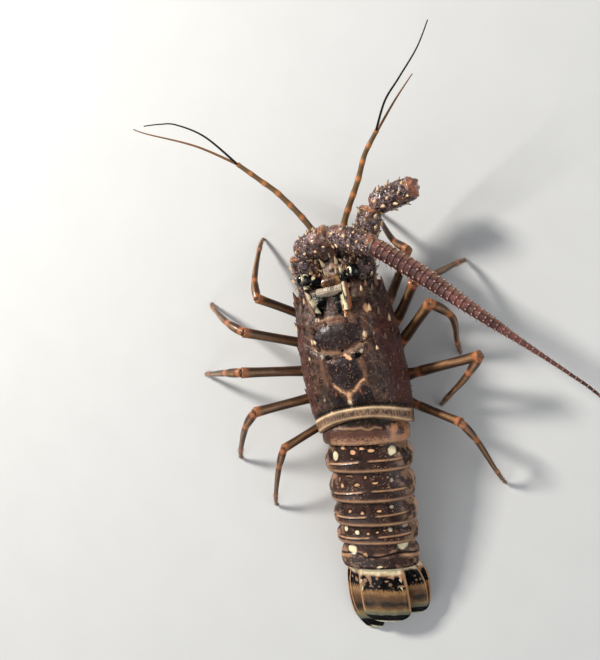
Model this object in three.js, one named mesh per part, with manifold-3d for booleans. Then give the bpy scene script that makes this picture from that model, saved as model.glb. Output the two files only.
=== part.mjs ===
// A Caribbean spiny lobster, life size, standing on the floor with its back up.
// X is the animal's right, Y its front and Z up. The floor is Z = 0 and sizes are in millimetres.
// The left antenna crosses over the head to the right and its whip runs back past the legs.
// The right antenna has lost its whip, and the tail bends a little to the left with its fan half closed.
import * as THREE from "three";
import { mergeVertices } from "three/addons/utils/BufferGeometryUtils.js";
import Module from "manifold-3d";

const wasm = await Module();
wasm.setup();

// Driving sizes.
const GAP = 0.3; // between two plates that meet
const SHELL_LENGTH = 86; // the carapace, from its rear rim to the front rim between the horns
const SHELL_TOP = 61;
const SHELL_HALF_WIDTH = 34;
const SHELL_WIDEST_Z = 32;
const SHELL_BOTTOM_Z = 17;
const KEEL_SHARE = 0.74; // the flat underside's width, as a share of the whole width
const HEAD_FRONT = SHELL_LENGTH + 2.5; // the face from which the feelers grow
const BACK_START_Z = 49.5; // the middle of the back at the carapace's rear rim
const TAIL_YAW = 7.5; // degrees that the tail bends to the left
const TAIL_PITCH_FIRST = 7; // degrees that the back slopes down at the rim
const TAIL_PITCH_GAIN = 0.115; // degrees more for each millimetre along the back
const RINGS_END = [0, 15.5, 34, 54.5, 71, 84, 102]; // where each tail ring ends, along the back
const TAIL_HALF_WIDTH = [27, 27.8, 27.6, 26.8, 26.2, 25.8, 24.8];
const TAIL_HEIGHT = [27, 26.5, 25.5, 24, 22, 19, 16.5];
const PLEURON_DROP = [3, 8, 9, 9, 8, 5]; // side teeth below each ring's underside
const TELSON_LENGTH = 41;
const LEG_COUNT = 5;

const rad = THREE.MathUtils.degToRad;
const mix = THREE.MathUtils.lerp;
const smooth = THREE.MathUtils.smoothstep;
const at = (x, y, z) => new THREE.Vector3(x, y, z);

// A number between the values of an evenly spaced list, for a share of its length.
function along(list, share) {
  const place = THREE.MathUtils.clamp(share, 0, 1) * (list.length - 1);
  const i = Math.min(Math.floor(place), list.length - 2);
  return mix(list[i], list[i + 1], place - i);
}

// A repeatable random number from 0 to 1.
function seeded(seed) {
  let state = seed;
  return () => {
    state = (state * 1664525 + 1013904223) % 4294967296;
    return state / 4294967296;
  };
}

// Six times the volume that a list of faces encloses, less than zero when they face inwards.
function signedVolume(places, faces) {
  let sum = 0;
  for (let i = 0; i < faces.length; i += 3) {
    const [a, b, c] = [places[faces[i]], places[faces[i + 1]], places[faces[i + 2]]];
    sum += a.dot(b.clone().cross(c));
  }
  return sum;
}

// A closed body through rings of points: point(u, v) with u along it and v round it.
// Its squares are split alike on both halves of the ring, so a thin plate's faces never cross.
function loft(steps, sides, point) {
  const places = [];
  const faces = [];
  for (let i = 0; i <= steps; i++)
    for (let j = 0; j < sides; j++) places.push(point(i / steps, j / sides));
  for (let i = 0; i < steps; i++)
    for (let j = 0; j < sides; j++) {
      const a = i * sides + j;
      const b = i * sides + ((j + 1) % sides);
      if (j < sides / 2) faces.push(a, b, b + sides, a, b + sides, a + sides);
      else faces.push(a, b, a + sides, b, b + sides, a + sides);
    }
  for (const [start, turned] of [[0, true], [steps * sides, false]]) {
    const middle = at(0, 0, 0);
    for (let j = 0; j < sides; j++) middle.addScaledVector(places[start + j], 1 / sides);
    places.push(middle);
    for (let j = 0; j < sides; j++) {
      const a = start + j;
      const b = start + ((j + 1) % sides);
      if (turned) faces.push(places.length - 1, b, a);
      else faces.push(places.length - 1, a, b);
    }
  }
  if (signedVolume(places, faces) < 0) faces.reverse();
  return new THREE.BufferGeometry().setFromPoints(places).setIndex(faces);
}

// A geometry as a solid that can be joined and cut.
function solid(geometry) {
  const plain = geometry.clone();
  plain.deleteAttribute("normal");
  plain.deleteAttribute("uv");
  const merged = mergeVertices(plain, 1e-4);
  const vertProperties = new Float32Array(merged.attributes.position.array);
  const triVerts = new Uint32Array(merged.index.array);
  return new wasm.Manifold(new wasm.Mesh({ numProp: 3, vertProperties, triVerts }));
}

// Several geometries joined into one, of which the largest closed body is kept.
function fuse(geometries, cutters = []) {
  let joined = solid(geometries[0]);
  for (const g of geometries.slice(1)) joined = joined.add(solid(g));
  for (const g of cutters) joined = joined.subtract(solid(g));
  const bodies = joined.decompose().sort((a, b) => b.volume() - a.volume());
  const mesh = bodies[0].getMesh();
  const points = [];
  for (let i = 0; i < mesh.numVert; i++)
    points.push(at(...mesh.vertProperties.subarray(i * mesh.numProp, i * mesh.numProp + 3)));
  return new THREE.BufferGeometry().setFromPoints(points).setIndex([...mesh.triVerts]);
}

// A tapering spine of few sides whose root lies inside what it grows from.
function spine(root, direction, length, radius, sides = 5) {
  const sunk = radius * 1.2;
  const cone = new THREE.ConeGeometry(radius, length + sunk, sides);
  cone.translate(0, (length - sunk) / 2, 0);
  const turned = new THREE.Quaternion().setFromUnitVectors(at(0, 1, 0), direction.clone().normalize());
  cone.applyQuaternion(turned);
  return cone.translate(root.x, root.y, root.z);
}

function curveOf(points) {
  return new THREE.CatmullRomCurve3(points.map((p) => at(...p)), false, "catmullrom", 0.5);
}

// A round or oval tube along a curve. radius(u) may give one number or [across, over].
function tube(points, steps, sides, radius) {
  const curve = curveOf(points);
  const frames = [];
  let across = null;
  for (let i = 0; i <= steps; i++) {
    const tangent = curve.getTangent(i / steps);
    if (!across) across = Math.abs(tangent.z) > 0.9 ? at(1, 0, 0) : at(0, 0, 1).cross(tangent);
    across = across.clone().addScaledVector(tangent, -across.dot(tangent)).normalize();
    frames.push([curve.getPoint(i / steps), across, tangent.clone().cross(across).normalize()]);
  }
  return loft(steps, sides, (u, v) => {
    const [centre, side, over] = frames[Math.round(u * steps)];
    const size = radius(u);
    const [a, b] = Array.isArray(size) ? size : [size, size];
    const turn = v * 2 * Math.PI;
    return centre
      .clone()
      .addScaledVector(side, Math.cos(turn) * a)
      .addScaledVector(over, Math.sin(turn) * b);
  });
}

const lobster = new THREE.Group();

function node(name, geometry, finish) {
  const mesh = new THREE.Mesh(geometry, finish);
  mesh.name = name;
  lobster.add(mesh);
  return mesh;
}

const paint = (color, roughness) => new THREE.MeshStandardMaterial({ color, roughness, metalness: 0 });
const FINISH = {
  shell: paint(0x4a2f24, 0.45),
  feeler: paint(0x6b423b, 0.5),
  thin: paint(0x8a6a42, 0.5),
  leg: paint(0x7d5634, 0.45),
  fan: paint(0x8c6a35, 0.5),
  eye: paint(0x0b0c10, 0.12),
  belly: paint(0xb98f63, 0.55),
};

// The carapace: rounded sections from its rear rim to its front rim.
const WIDTH_SHARE = [0.926, 0.976, 1, 1, 0.994, 0.982, 0.959, 0.924, 0.865];
const shellWidth = WIDTH_SHARE.map((share) => share * SHELL_HALF_WIDTH);
const shellTop = [50, 55, 58.5, 60.5, 61, 60.4, 59, 56.6, 52.5].map((z) => (z / 61) * SHELL_TOP);

// The cervical groove and the grooved rear rim, as a depth at a place on the back.
function shellRelief(x, y) {
  const groove = 44.3 + 0.021 * x * x;
  const cervical = 1.6 * Math.exp(-(((y - groove) / 2.6) ** 2)) * (1 - smooth(Math.abs(x), 30, 34));
  const rim = 1.1 * Math.exp(-(((y - 9) / 2) ** 2));
  return cervical + rim;
}

// How far the rear rim is moved back at a turn: its middle is hollowed and its flanks are full.
const RIM_HOLLOW = 7.5;
const RIM_RISE = 2; // how far its middle lies ahead of y = 0
const RIM_TURN = 0.05; // how much further back it lies for each millimetre to the right
function rimBack(x, y, turn) {
  const arch = RIM_HOLLOW * Math.sin(rad(Math.min(Math.abs(turn), 90))) ** 2;
  return (arch - RIM_RISE + RIM_TURN * x) * (1 - smooth(y, 0, 26));
}

// The carapace's surface at y for a turn in degrees: 0 on top, 90 at the right side, 180 below.
// It can be grown by a gap all round, as the shape that is cut from what sits on it.
function shellPoint(y, turn, grow = 0) {
  const p = shellSection(y, turn, grow);
  return p.setY(y - rimBack(p.x, y, turn));
}

function shellSection(y, turn, grow) {
  const share = y / SHELL_LENGTH;
  const w = along(shellWidth, share) + grow;
  const top = along(shellTop, share) + grow;
  const side = Math.sign(turn) || 1;
  const a = Math.abs(turn);
  const keel = w * KEEL_SHARE;
  if (a <= 90) {
    const x = w * Math.sin(rad(a)) ** 0.86;
    const rise = (top - SHELL_WIDEST_Z) * Math.max(Math.cos(rad(a)), 0) ** 0.84;
    return at(side * x, y, SHELL_WIDEST_Z + rise - shellRelief(x, y) * Math.max(Math.cos(rad(a)), 0));
  }
  const flank = Math.min((a - 90) / 54, 1);
  const floor = Math.max((a - 144) / 36, 0);
  return at(
    side * mix(mix(w, keel, flank ** 1.8), 0, floor),
    y,
    mix(SHELL_WIDEST_Z, SHELL_BOTTOM_Z - grow, Math.sin(rad(90 * flank))),
  );
}

const FRONT_STEPS = 2;
const FRONT_MIDDLE_Z = 33;
const SHELL_STEPS = 26;
const SHELL_SIDES = 32;

// The face under the front rim draws in to a smaller flat front.
function carapaceBody(grow = 0) {
  const steps = SHELL_STEPS + FRONT_STEPS;
  return loft(steps, SHELL_SIDES, (u, v) => {
    const i = Math.round(u * steps);
    const turn = v * 360 > 180 ? v * 360 - 360 : v * 360;
    if (i <= SHELL_STEPS) {
      const p = shellPoint((SHELL_LENGTH * i) / SHELL_STEPS, turn, grow);
      return i ? p : p.setY(p.y - grow);
    }
    const closing = (i - SHELL_STEPS) / FRONT_STEPS;
    const p = at(0, 0, FRONT_MIDDLE_Z).lerp(shellPoint(SHELL_LENGTH, turn, grow), 1 - 0.2 * closing ** 2);
    return p.setY(mix(SHELL_LENGTH, HEAD_FRONT + grow, Math.sin(rad(90 * closing))));
  });
}

// Spines of the carapace in rows that run forward: [turn, first y, last y, spacing, length].
const SPINE_ROWS = [
  [10, 50, 66, 14, 4],
  [24, 50, 66, 13, 4.8],
  [40, 18, 80, 15, 4.6],
  [56, 16, 82, 16, 5],
  [74, 26, 84, 14, 4.6],
];

// The larger spines of the front rim: [turn, length].
const FRONT_SPINES = [[46, 5], [66, 7.5], [88, 5.5]];

function carapaceSpines() {
  const spines = [];
  const next = seeded(11);
  for (const [turn, first, last, spacing, length] of SPINE_ROWS)
    for (let y = first; y <= last; y += spacing) {
      const place = y + (next() - 0.5) * 3;
      const size = length * (0.75 + 0.5 * next()) * mix(0.7, 1.15, place / SHELL_LENGTH);
      const lean = turn + (next() - 0.5) * 6;
      for (const side of [-1, 1]) {
        const root = shellPoint(Math.min(place, SHELL_LENGTH - 1), side * lean);
        const out = at(root.x, 0, root.z - SHELL_WIDEST_Z).normalize();
        spines.push(spine(root, out.multiplyScalar(0.6).add(at(0, 0.85, 0)), size, size * 0.36));
      }
    }
  for (const side of [-1, 1])
    for (const [turn, length] of FRONT_SPINES) {
      const root = shellPoint(SHELL_LENGTH - 1.5, side * turn);
      spines.push(spine(root, at(side * 0.2, 1, 0.35), length, length * 0.3, 6));
    }
  return spines;
}

node("carapace", fuse([carapaceBody(), ...carapaceSpines()]), FINISH.shell);

// The horns over the eyes: flat-sided and curved forward and up.
const HORN = [[10.2, 72.5, 56.5], [12, 82.3, 61], [12.8, 91, 65], [12.7, 100.8, 67.5]];
for (const [side, name] of [[-1, "left"], [1, "right"]]) {
  const path = HORN.map(([x, y, z]) => [side * x, y, z]);
  const horn = tube(path, 8, 9, (u) => [mix(2.9, 0.35, u ** 1.1), mix(4.6, 0.4, u ** 0.9)]);
  node("horn_" + name, fuse([horn], [carapaceBody(GAP)]), FINISH.shell);
}

// The pale bridge between the eyes, and the eyes on their short stalks.
const BRIDGE_Z = 46;
const BRIDGE_HALF = 6.8;
const BRIDGE_RADIUS = 3.2;
function eyeBridge(grow = 0) {
  const y = HEAD_FRONT + GAP + BRIDGE_RADIUS;
  const radius = BRIDGE_RADIUS + grow;
  return loft(6, 12, (u, v) => {
    const turn = v * 2 * Math.PI;
    const x = mix(-1, 1, u) * (BRIDGE_HALF + grow);
    return at(x, y + Math.cos(turn) * radius, BRIDGE_Z + Math.sin(turn) * radius);
  });
}
node("eye_bridge", eyeBridge(), FINISH.thin);

const EYE_RADIUS = 4.9;
const EYES = { left: [-17.6, 96.6, 49.5], right: [16.8, 94.8, 49.5] }; // they turn on their stalks
const eyeBall = (name, grow = 0) =>
  new THREE.SphereGeometry(EYE_RADIUS + grow, 12, 8).translate(...EYES[name]);
for (const [side, name] of [[-1, "left"], [1, "right"]]) {
  const [x, y, z] = EYES[name];
  const path = [[side * 6, 92.2, BRIDGE_Z], [side * 12, mix(92.2, y, 0.5), 47.4], [0.97 * x, y, z - 0.3]];
  const stalk = tube(path, 4, 8, (u) => mix(2.9, 4.3, u));
  node("eye_" + name, fuse([eyeBall(name), stalk], [eyeBridge(GAP)]), FINISH.eye);
}

// A sine or cosine pushed outwards, so that a round section becomes a box with round corners.
const squared = (wave) => Math.sign(wave) * Math.abs(wave) ** 0.6;

// The plate between the roots of the feelers, with its two pairs of spines.
const PLATE_FRONT = 116;
function plateBody(grow = 0) {
  return loft(5, 12, (u, v) => {
    const turn = v * 2 * Math.PI;
    const top = mix(42, 36.6, u) + 2.4 * Math.sin(Math.PI * u) ** 2;
    const bottom = mix(25, 27, u);
    const x = squared(Math.cos(turn)) * (mix(8.9, 4.8, u * u) + grow);
    const z = (top + bottom) / 2 + squared(Math.sin(turn)) * ((top - bottom) / 2 + grow);
    return at(x, mix(HEAD_FRONT + GAP, PLATE_FRONT + grow, u), z);
  });
}

function antennularPlate() {
  const spines = [];
  for (const side of [-1, 1])
    for (const [x, y, z, length] of [[4.6, 104, 40.6, 6], [3.6, 97.4, 41.6, 5]])
      spines.push(spine(at(side * x, y, z), at(side * 0.12, 0.62, 0.75), length, length * 0.27, 6));
  return fuse([plateBody(), ...spines]);
}
node("antennular_plate", antennularPlate(), FINISH.shell);

// One thick article of a feeler's stalk, without its spines: a tube that bulges in the middle.
function articleBody({ from, to, radius }, grow = 0) {
  const path = [from, from.map((x, i) => mix(x, to[i], 0.5)), to];
  return tube(path, 5, 10, (u) => grow + radius * (0.84 + 0.2 * Math.sin(Math.PI * u ** 0.8) + 0.06 * u));
}

// An article with rows of spines that point forward, cut clear of what it stands on.
function article(piece, cutters, seed, rows = 5, perRow = 2) {
  const { from, to, radius } = piece;
  const body = articleBody(piece);
  const axis = at(...to).sub(at(...from));
  const length = axis.length();
  axis.normalize();
  const side = at(0, 0, 1).cross(axis).normalize();
  const over = axis.clone().cross(side);
  const next = seeded(seed);
  const spines = [];
  for (let r = 0; r < rows; r++)
    for (let k = 0; k < perRow; k++) {
      const turn = rad(-70 + (r / (rows - 1)) * 320 + (next() - 0.5) * 20);
      const out = side.clone().multiplyScalar(Math.cos(turn)).addScaledVector(over, Math.sin(turn));
      const place = (0.22 + (0.68 * (k + 0.25 * (r % 2) + 0.3 * next())) / perRow) * length;
      const root = at(...from).addScaledVector(axis, place).addScaledVector(out, radius * 0.93);
      const size = radius * (0.42 + 0.3 * next());
      spines.push(spine(root, out.multiplyScalar(0.75).addScaledVector(axis, 0.65), size, size * 0.36));
    }
  return fuse([body, ...spines], cutters);
}

const FEELER = {
  left: [
    { from: [-18.6, 86.6, 31.4], to: [-19.5, 115, 39.2], radius: 8.2 },
    { from: [-19.4, 116, 41], to: [5.2, 121.5, 50.8], radius: 7.6 },
    { from: [6, 121.8, 50.8], to: [34.5, 106.4, 55.4], radius: 7 },
  ],
  right: [
    { from: [16.8, 87.2, 32], to: [21.2, 108.2, 33], radius: 8.1 },
    { from: [21.5, 109.1, 33.2], to: [33.6, 134.4, 37.4], radius: 7.8 },
    { from: [34.4, 135.4, 37.6], to: [64.5, 139, 41.6], radius: 7.6 },
  ],
};
for (const [name, articles] of Object.entries(FEELER))
  articles.forEach((piece, i) => {
    const head = [carapaceBody(GAP), plateBody(GAP), eyeBall("left", GAP), eyeBall("right", GAP)];
    const below = i ? [articleBody(articles[i - 1], GAP)] : head;
    const seed = 31 + i * 7 + name.length;
    node("antenna_" + name + "_" + (i + 1), article(piece, below, seed), FINISH.shell);
  });

// The left feeler's whip, in three lengths. Its diameter drops sharply a third of the way along.
const WHIP = [
  [34.5, 106.2, 55.4], [59.8, 82.6, 58], [85.6, 55.6, 58.6], [110.4, 29.8, 57.6], [134.3, 4.9, 54.4],
  [147.8, -10.4, 52.5], [174.9, -47.9, 45.5], [197, -86.8, 36.5], [214.1, -127, 27],
];
const WHIP_DIAMETER = [
  10.4, 10.6, 10.3, 9.2, 7.6, 6.2, 3.9, 2.7, 2, 1.7, 1.5, 1.4, 1.35, 1.3, 1.2, 1.1, 1, 1,
];
const WHIP_CUTS = [0, 0.36, 0.66, 1];
const whipCurve = curveOf(WHIP);
function whipLength(from, to, steps, spiny, cutters) {
  const points = [];
  for (let i = 0; i <= steps; i++) points.push(whipCurve.getPointAt(mix(from, to, i / steps)).toArray());
  const size = (u) => along(WHIP_DIAMETER, mix(from, to, u)) / 2;
  const body = tube(points, steps, 7, size);
  const spines = [];
  const root = (centre, out, r) => centre.clone().addScaledVector(out, r * 0.93);
  for (let k = 0; k < spiny; k++) {
    const u = mix(from, to, (k + 0.6) / (spiny + 0.4));
    const centre = whipCurve.getPointAt(u);
    const forward = whipCurve.getTangentAt(u);
    const side = at(0, 0, 1).cross(forward).normalize();
    const over = forward.clone().cross(side);
    for (let j = 0; j < 3; j++) {
      const turn = rad(25 + j * 120 + (k % 2) * 40);
      const out = side.clone().multiplyScalar(Math.cos(turn)).addScaledVector(over, Math.sin(turn));
      const r = along(WHIP_DIAMETER, u) / 2;
      const lean = out.clone().multiplyScalar(0.6).addScaledVector(forward, 0.8);
      spines.push(spine(root(centre, out, r), lean, 0.9 + r * 0.22, 0.5 + r * 0.08, 4));
    }
  }
  return fuse([body, ...spines], cutters);
}
const WHIP_SPINY = [7, 0, 0];
WHIP_SPINY.forEach((spiny, i) => {
  const end = WHIP_CUTS[i + 1] - (i < 2 ? GAP / whipCurve.getLength() : 0);
  const cutters = i ? [] : [articleBody(FEELER.left[2], GAP)];
  node("whip_" + (i + 1), whipLength(WHIP_CUTS[i], end, 14, spiny, cutters), FINISH.feeler);
});

// The thin inner feelers: a stalk of three joints, then two fine threads.
const ANTENNULE = {
  left: {
    stalk: [[-4, 108, 30.6], [-9.3, 130.7, 37], [-22.4, 154.7, 46], [-33, 167.5, 50], [-45.3, 181.3, 53.8]],
    outer: [[-44.9, 180.9, 52.7], [-70.3, 199.6, 58.5], [-101.7, 216, 62], [-110.5, 221.5, 63]],
    inner: [
      [-44.9, 180.9, 54.9], [-61.5, 203.1, 61], [-79.2, 215.8, 63.6], [-90.4, 219, 65], [-101, 220.4, 66.4],
    ],
  },
  right: {
    stalk: [[4, 108, 30.6], [14.6, 129.9, 37.6], [30.1, 150.7, 46], [39.5, 165.5, 51], [51.2, 177.3, 55.4]],
    outer: [[50.8, 176.9, 54.2], [67.3, 191.8, 59.4], [81.3, 203.2, 63]],
    inner: [
      [50.8, 176.9, 56.4], [61.1, 191.8, 62.4], [73.1, 201.9, 66.6], [88, 215.9, 69], [98.2, 229.8, 71],
    ],
  },
};
const stalkRadius = (u) => mix(2.3, 1.45, u) * (1 + 0.16 * Math.cos(u * 8 * Math.PI) ** 6);
for (const [name, parts] of Object.entries(ANTENNULE)) {
  const stalk = (grow) => tube(parts.stalk, 12, 7, (u) => stalkRadius(u) + grow);
  const thread = (path, radius) => fuse([tube(path, 10, 5, (u) => mix(radius, 0.35, u))], [stalk(GAP)]);
  node("antennule_" + name + "_stalk", fuse([stalk(0)], [plateBody(GAP)]), FINISH.thin);
  node("antennule_" + name + "_outer", thread(parts.outer, 0.92), FINISH.thin);
  node("antennule_" + name + "_inner", thread(parts.inner, 0.78), FINISH.thin);
}

// The underside: the breastplate between the legs, and the mouth in front of it.
const STERNUM_BACK = 3;
const STERNUM_FRONT = 63;
const STERNUM_Z = 8.5;
const STERNUM_STEPS = 10;
const sternumHalf = (y) => mix(15.5, 7.5, (y - STERNUM_BACK) / (STERNUM_FRONT - STERNUM_BACK));
function sternum(grow = 0) {
  return loft(STERNUM_STEPS, 10, (u, v) => {
    const y = mix(STERNUM_BACK - grow, STERNUM_FRONT + grow, u);
    const ridge = 0.8 * Math.cos(u * STERNUM_STEPS * Math.PI);
    const turn = v * 2 * Math.PI + Math.PI / 10;
    const share = Math.sign(Math.cos(turn)) * Math.abs(Math.cos(turn)) ** 0.5;
    const under = STERNUM_Z + 1.4 * Math.abs(share) + ridge - grow;
    return at(share * (sternumHalf(y) + grow), y, Math.sin(turn) > 0 ? SHELL_BOTTOM_Z - GAP : under);
  });
}
node("sternum", sternum(), FINISH.belly);

const MOUTH_Y = 76.5;
node(
  "epistome",
  loft(6, 12, (u, v) => {
    const turn = v * 2 * Math.PI;
    const low = mix(10.4, 14, u);
    const middle = (SHELL_BOTTOM_Z - GAP + low) / 2;
    const z = middle + squared(Math.sin(turn)) * (middle - low);
    return at(squared(Math.cos(turn)) * mix(15, 19, u), mix(MOUTH_Y, HEAD_FRONT - 0.5, u), z);
  }),
  FINISH.belly,
);
const JAW = [4.6, 5.4, 3.1];
const PALP_RADIUS = [2.4, 2.8, 2.6, 2.3, 2.1, 1.9, 1.6, 1.3, 0.8];
for (const [side, name] of [[-1, "left"], [1, "right"]]) {
  const jaw = new THREE.SphereGeometry(1, 10, 6).scale(...JAW);
  jaw.translate(side * 5.1, (STERNUM_FRONT + MOUTH_Y) / 2, SHELL_BOTTOM_Z - GAP - JAW[2]);
  node("mandible_" + name, jaw, FINISH.belly);
  const jaws = [[3.2, 61.4, 9.8], [6.8, 67, 6.2], [8.4, 78, 5.6], [5.4, 89, 7.6]];
  const path = jaws.map(([x, y, z]) => [side * x, y, z]);
  const palp = tube(path, 9, 8, (u) => [along(PALP_RADIUS, u), along(PALP_RADIUS, u) * 0.8]);
  node("maxilliped_" + name, fuse([palp], [sternum(GAP)]), FINISH.belly);
}

// Walking legs: knee, wrist and foot for each, from the front pair to the rear pair.
const LEGS = {
  right: [
    { knee: [51.4, 101.8, 38], wrist: [41.4, 111.3, 29], foot: [28, 137.7, 0] },
    { knee: [52.1, 79.8, 43], wrist: [66, 82.6, 37], foot: [80.6, 90.3, 0] },
    { knee: [59.4, 64.6, 43], wrist: [69.7, 53.5, 34], foot: [65.3, 31, 0] },
    { knee: [83, 25.9, 41], wrist: [70.1, 14.5, 31], foot: [46, -0.6, 0] },
    { knee: [62, -12.8, 37], wrist: [68.7, -26.4, 31], foot: [76.3, -58.1, 0] },
  ],
  left: [
    { knee: [-55.8, 93.2, 38], wrist: [-57.5, 107.1, 31], foot: [-56.1, 137.3, 0] },
    { knee: [-68.7, 72.5, 42], wrist: [-81.2, 81.9, 36], foot: [-104.2, 100.7, 0] },
    { knee: [-75.3, 46.1, 43], wrist: [-89.5, 48.4, 36], foot: [-118.7, 51.9, 0] },
    { knee: [-71.9, 18.3, 41], wrist: [-83.4, 9.6, 34], foot: [-104.3, -11.5, 0] },
    { knee: [-58.4, -9.1, 36], wrist: [-66.8, -21.5, 30], foot: [-84.4, -48.5, 0] },
  ],
};
const LEG_ROOT_Y = [57, 45.5, 34, 22.5, 11];
const LEG_SIZE = [0.92, 1, 1.04, 1, 0.86];
const UPPER_RADIUS = [3.6, 4.6, 4.5, 3.4, 3.5, 3.3, 3.15, 3.1, 3.1, 3.2, 3.5];
const LOWER_RADIUS = [2.7, 3, 2.8, 2.3, 2.2, 2.1, 1.95, 1.8, 1.7, 1.7, 1.4, 1.1, 0.8];

function legUpper(root, knee, size, grow = 0) {
  const [kx, ky] = knee;
  const side = Math.sign(kx);
  const sweep = (ky - root[1]) / (Math.abs(kx) - Math.abs(root[0]));
  const bend = [side * 34, root[1] + sweep * (34 - Math.abs(root[0])), 13.5];
  const start = [side * 22, root[1] + sweep * (22 - Math.abs(root[0])) * 0.8, 10.2];
  const shin = at(...knee).sub(at(...bend)).normalize();
  const end = at(...knee).addScaledVector(shin, grow).toArray();
  const body = tube([root, start, bend, end], 9, 7, (u) => grow + size * along(UPPER_RADIUS, u));
  const hook = at(...knee).addScaledVector(shin, -1.5).add(at(0, 0, 2.6 * size));
  const hookSpine = spine(hook, shin.clone().add(at(0, 0, 0.5)), 3 + grow, 1.1 + grow);
  return fuse([body, hookSpine], [sternum(GAP)]);
}

function legLower(knee, wrist, foot, size, above) {
  const k = at(...knee);
  const w = at(...wrist);
  const down = w.clone().sub(k).normalize();
  const first = k.clone().addScaledVector(down, 2 * size);
  const [fx, fy] = foot;
  const ankle = w.clone().lerp(at(fx, fy, 0), 0.66).add(at(0, 0, 4.5));
  const path = [first.toArray(), w.toArray(), ankle.toArray(), [fx, fy, 3], [fx, fy, 0]];
  const body = tube(path, 10, 6, (u) => size * along(LOWER_RADIUS, u));
  const places = body.attributes.position;
  for (let i = 0; i < places.count; i++) places.setZ(i, Math.max(places.getZ(i), 0));
  return fuse([body], [above]);
}

for (const [name, legs] of Object.entries(LEGS))
  for (let i = 0; i < LEG_COUNT; i++) {
    const { knee, wrist, foot } = legs[i];
    const side = Math.sign(knee[0]);
    const y = LEG_ROOT_Y[i];
    const root = [side * (sternumHalf(y) - 1), y, 11.6];
    const size = LEG_SIZE[i];
    node("leg_" + name + "_" + (i + 1) + "_upper", legUpper(root, knee, size), FINISH.leg);
    const above = legUpper(root, knee, size, GAP);
    node("leg_" + name + "_" + (i + 1) + "_lower", legLower(knee, wrist, foot, size, above), FINISH.leg);
  }

// The frame of the back, s millimetres behind the carapace's rim: X right, Y forward, Z out of the back.
function backFrame(s) {
  const first = rad(TAIL_PITCH_FIRST);
  const gain = rad(TAIL_PITCH_GAIN);
  const pitch = first + gain * s;
  const run = (Math.sin(pitch) - Math.sin(first)) / gain;
  const drop = (Math.cos(first) - Math.cos(pitch)) / gain;
  const forward = at(Math.sin(rad(TAIL_YAW)), Math.cos(rad(TAIL_YAW)), 0);
  const right = at(Math.cos(rad(TAIL_YAW)), -Math.sin(rad(TAIL_YAW)), 0);
  const up = at(0, 0, 1);
  const ahead = forward.clone().multiplyScalar(Math.cos(pitch)).addScaledVector(up, Math.sin(pitch));
  const out = up.clone().multiplyScalar(Math.cos(pitch)).addScaledVector(forward, -Math.sin(pitch));
  const place = at(0, 0, BACK_START_Z).addScaledVector(forward, -run).addScaledVector(up, -drop);
  return new THREE.Matrix4().makeBasis(right, ahead, out).setPosition(place);
}
const onFloor = (p, least = 0) => p.setZ(Math.max(p.z, least));

// One ring of the tail: an arched back, side teeth that reach down, and a flat underside.
const RING_STEPS = 6;
const RING_SIDES = 24;
const TOOTH = [0, 0.3, 0.62, 0.9, 1, 0.5, 0.12]; // the side tooth's depth from the ring's front to its rear
function tailRing(i) {
  const front = i ? RINGS_END[i] + GAP / 2 : -7;
  const rear = RINGS_END[i + 1] - GAP / 2;
  return loft(RING_STEPS, RING_SIDES, (u, v) => {
    const s = mix(front, rear, u);
    const share = i + u;
    const groove = i ? 0.7 * Math.exp(-(((u - 0.56) / 0.1) ** 2)) : 0;
    const lip = mix(-0.9, 0.5, smooth(u, 0, 0.5)) - groove;
    const w = along(TAIL_HALF_WIDTH, share / 6) + lip;
    const h = along(TAIL_HEIGHT, share / 6);
    const drop = PLEURON_DROP[i] * along(TOOTH, u);
    const half = RING_SIDES / 2;
    const j = Math.round(v * RING_SIDES);
    const side = j <= half ? 1 : -1;
    const k = j <= half ? j : RING_SIDES - j;
    const level = 0.6 * h;
    const arch = rad(90 * Math.min(k / 7, 1));
    const below = [
      [w - 1.2, -(level + 0.5 * (h - level + drop))],
      [w - 4.2, -(h + drop)],
      [w - 6.2, -(h + drop)],
      [w - 7.6, -h + 0.4],
      [0, -h - 1],
    ];
    const over = [w * Math.sin(arch) ** 0.88, lip - level * (1 - Math.cos(arch) ** 0.85)];
    const [x, z] = k < 8 ? over : below[k - 8];
    return onFloor(at(side * x, 0, z).applyMatrix4(backFrame(s)));
  });
}

// A pair of leaf-shaped swimmerets under a ring.
function swimmerets(i) {
  const s = mix(RINGS_END[i], RINGS_END[i + 1], 0.45);
  const h = along(TAIL_HEIGHT, (i + 0.45) / 6);
  return [-1, 1].map((side) =>
    loft(3, 5, (u, v) => {
      const turn = v * 2 * Math.PI;
      const reach = Math.sin(Math.PI * mix(0.18, 0.93, u)) * 5;
      const x = side * (8 + 7 * u);
      const p = at(x, Math.cos(turn) * reach - 4 * u, -h + 1 - 7.5 * u + Math.sin(turn) * 0.6);
      return onFloor(p.applyMatrix4(backFrame(s)), 1.5);
    }),
  );
}

for (let i = 0; i < 6; i++) {
  const pieces = i >= 1 && i <= 4 ? [tailRing(i), ...swimmerets(i)] : [tailRing(i)];
  node("tail_ring_" + (i + 1), fuse(pieces, i ? [] : [carapaceBody(GAP)]), FINISH.shell);
}

const FAN_START = RINGS_END[6] + GAP / 2;

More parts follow.
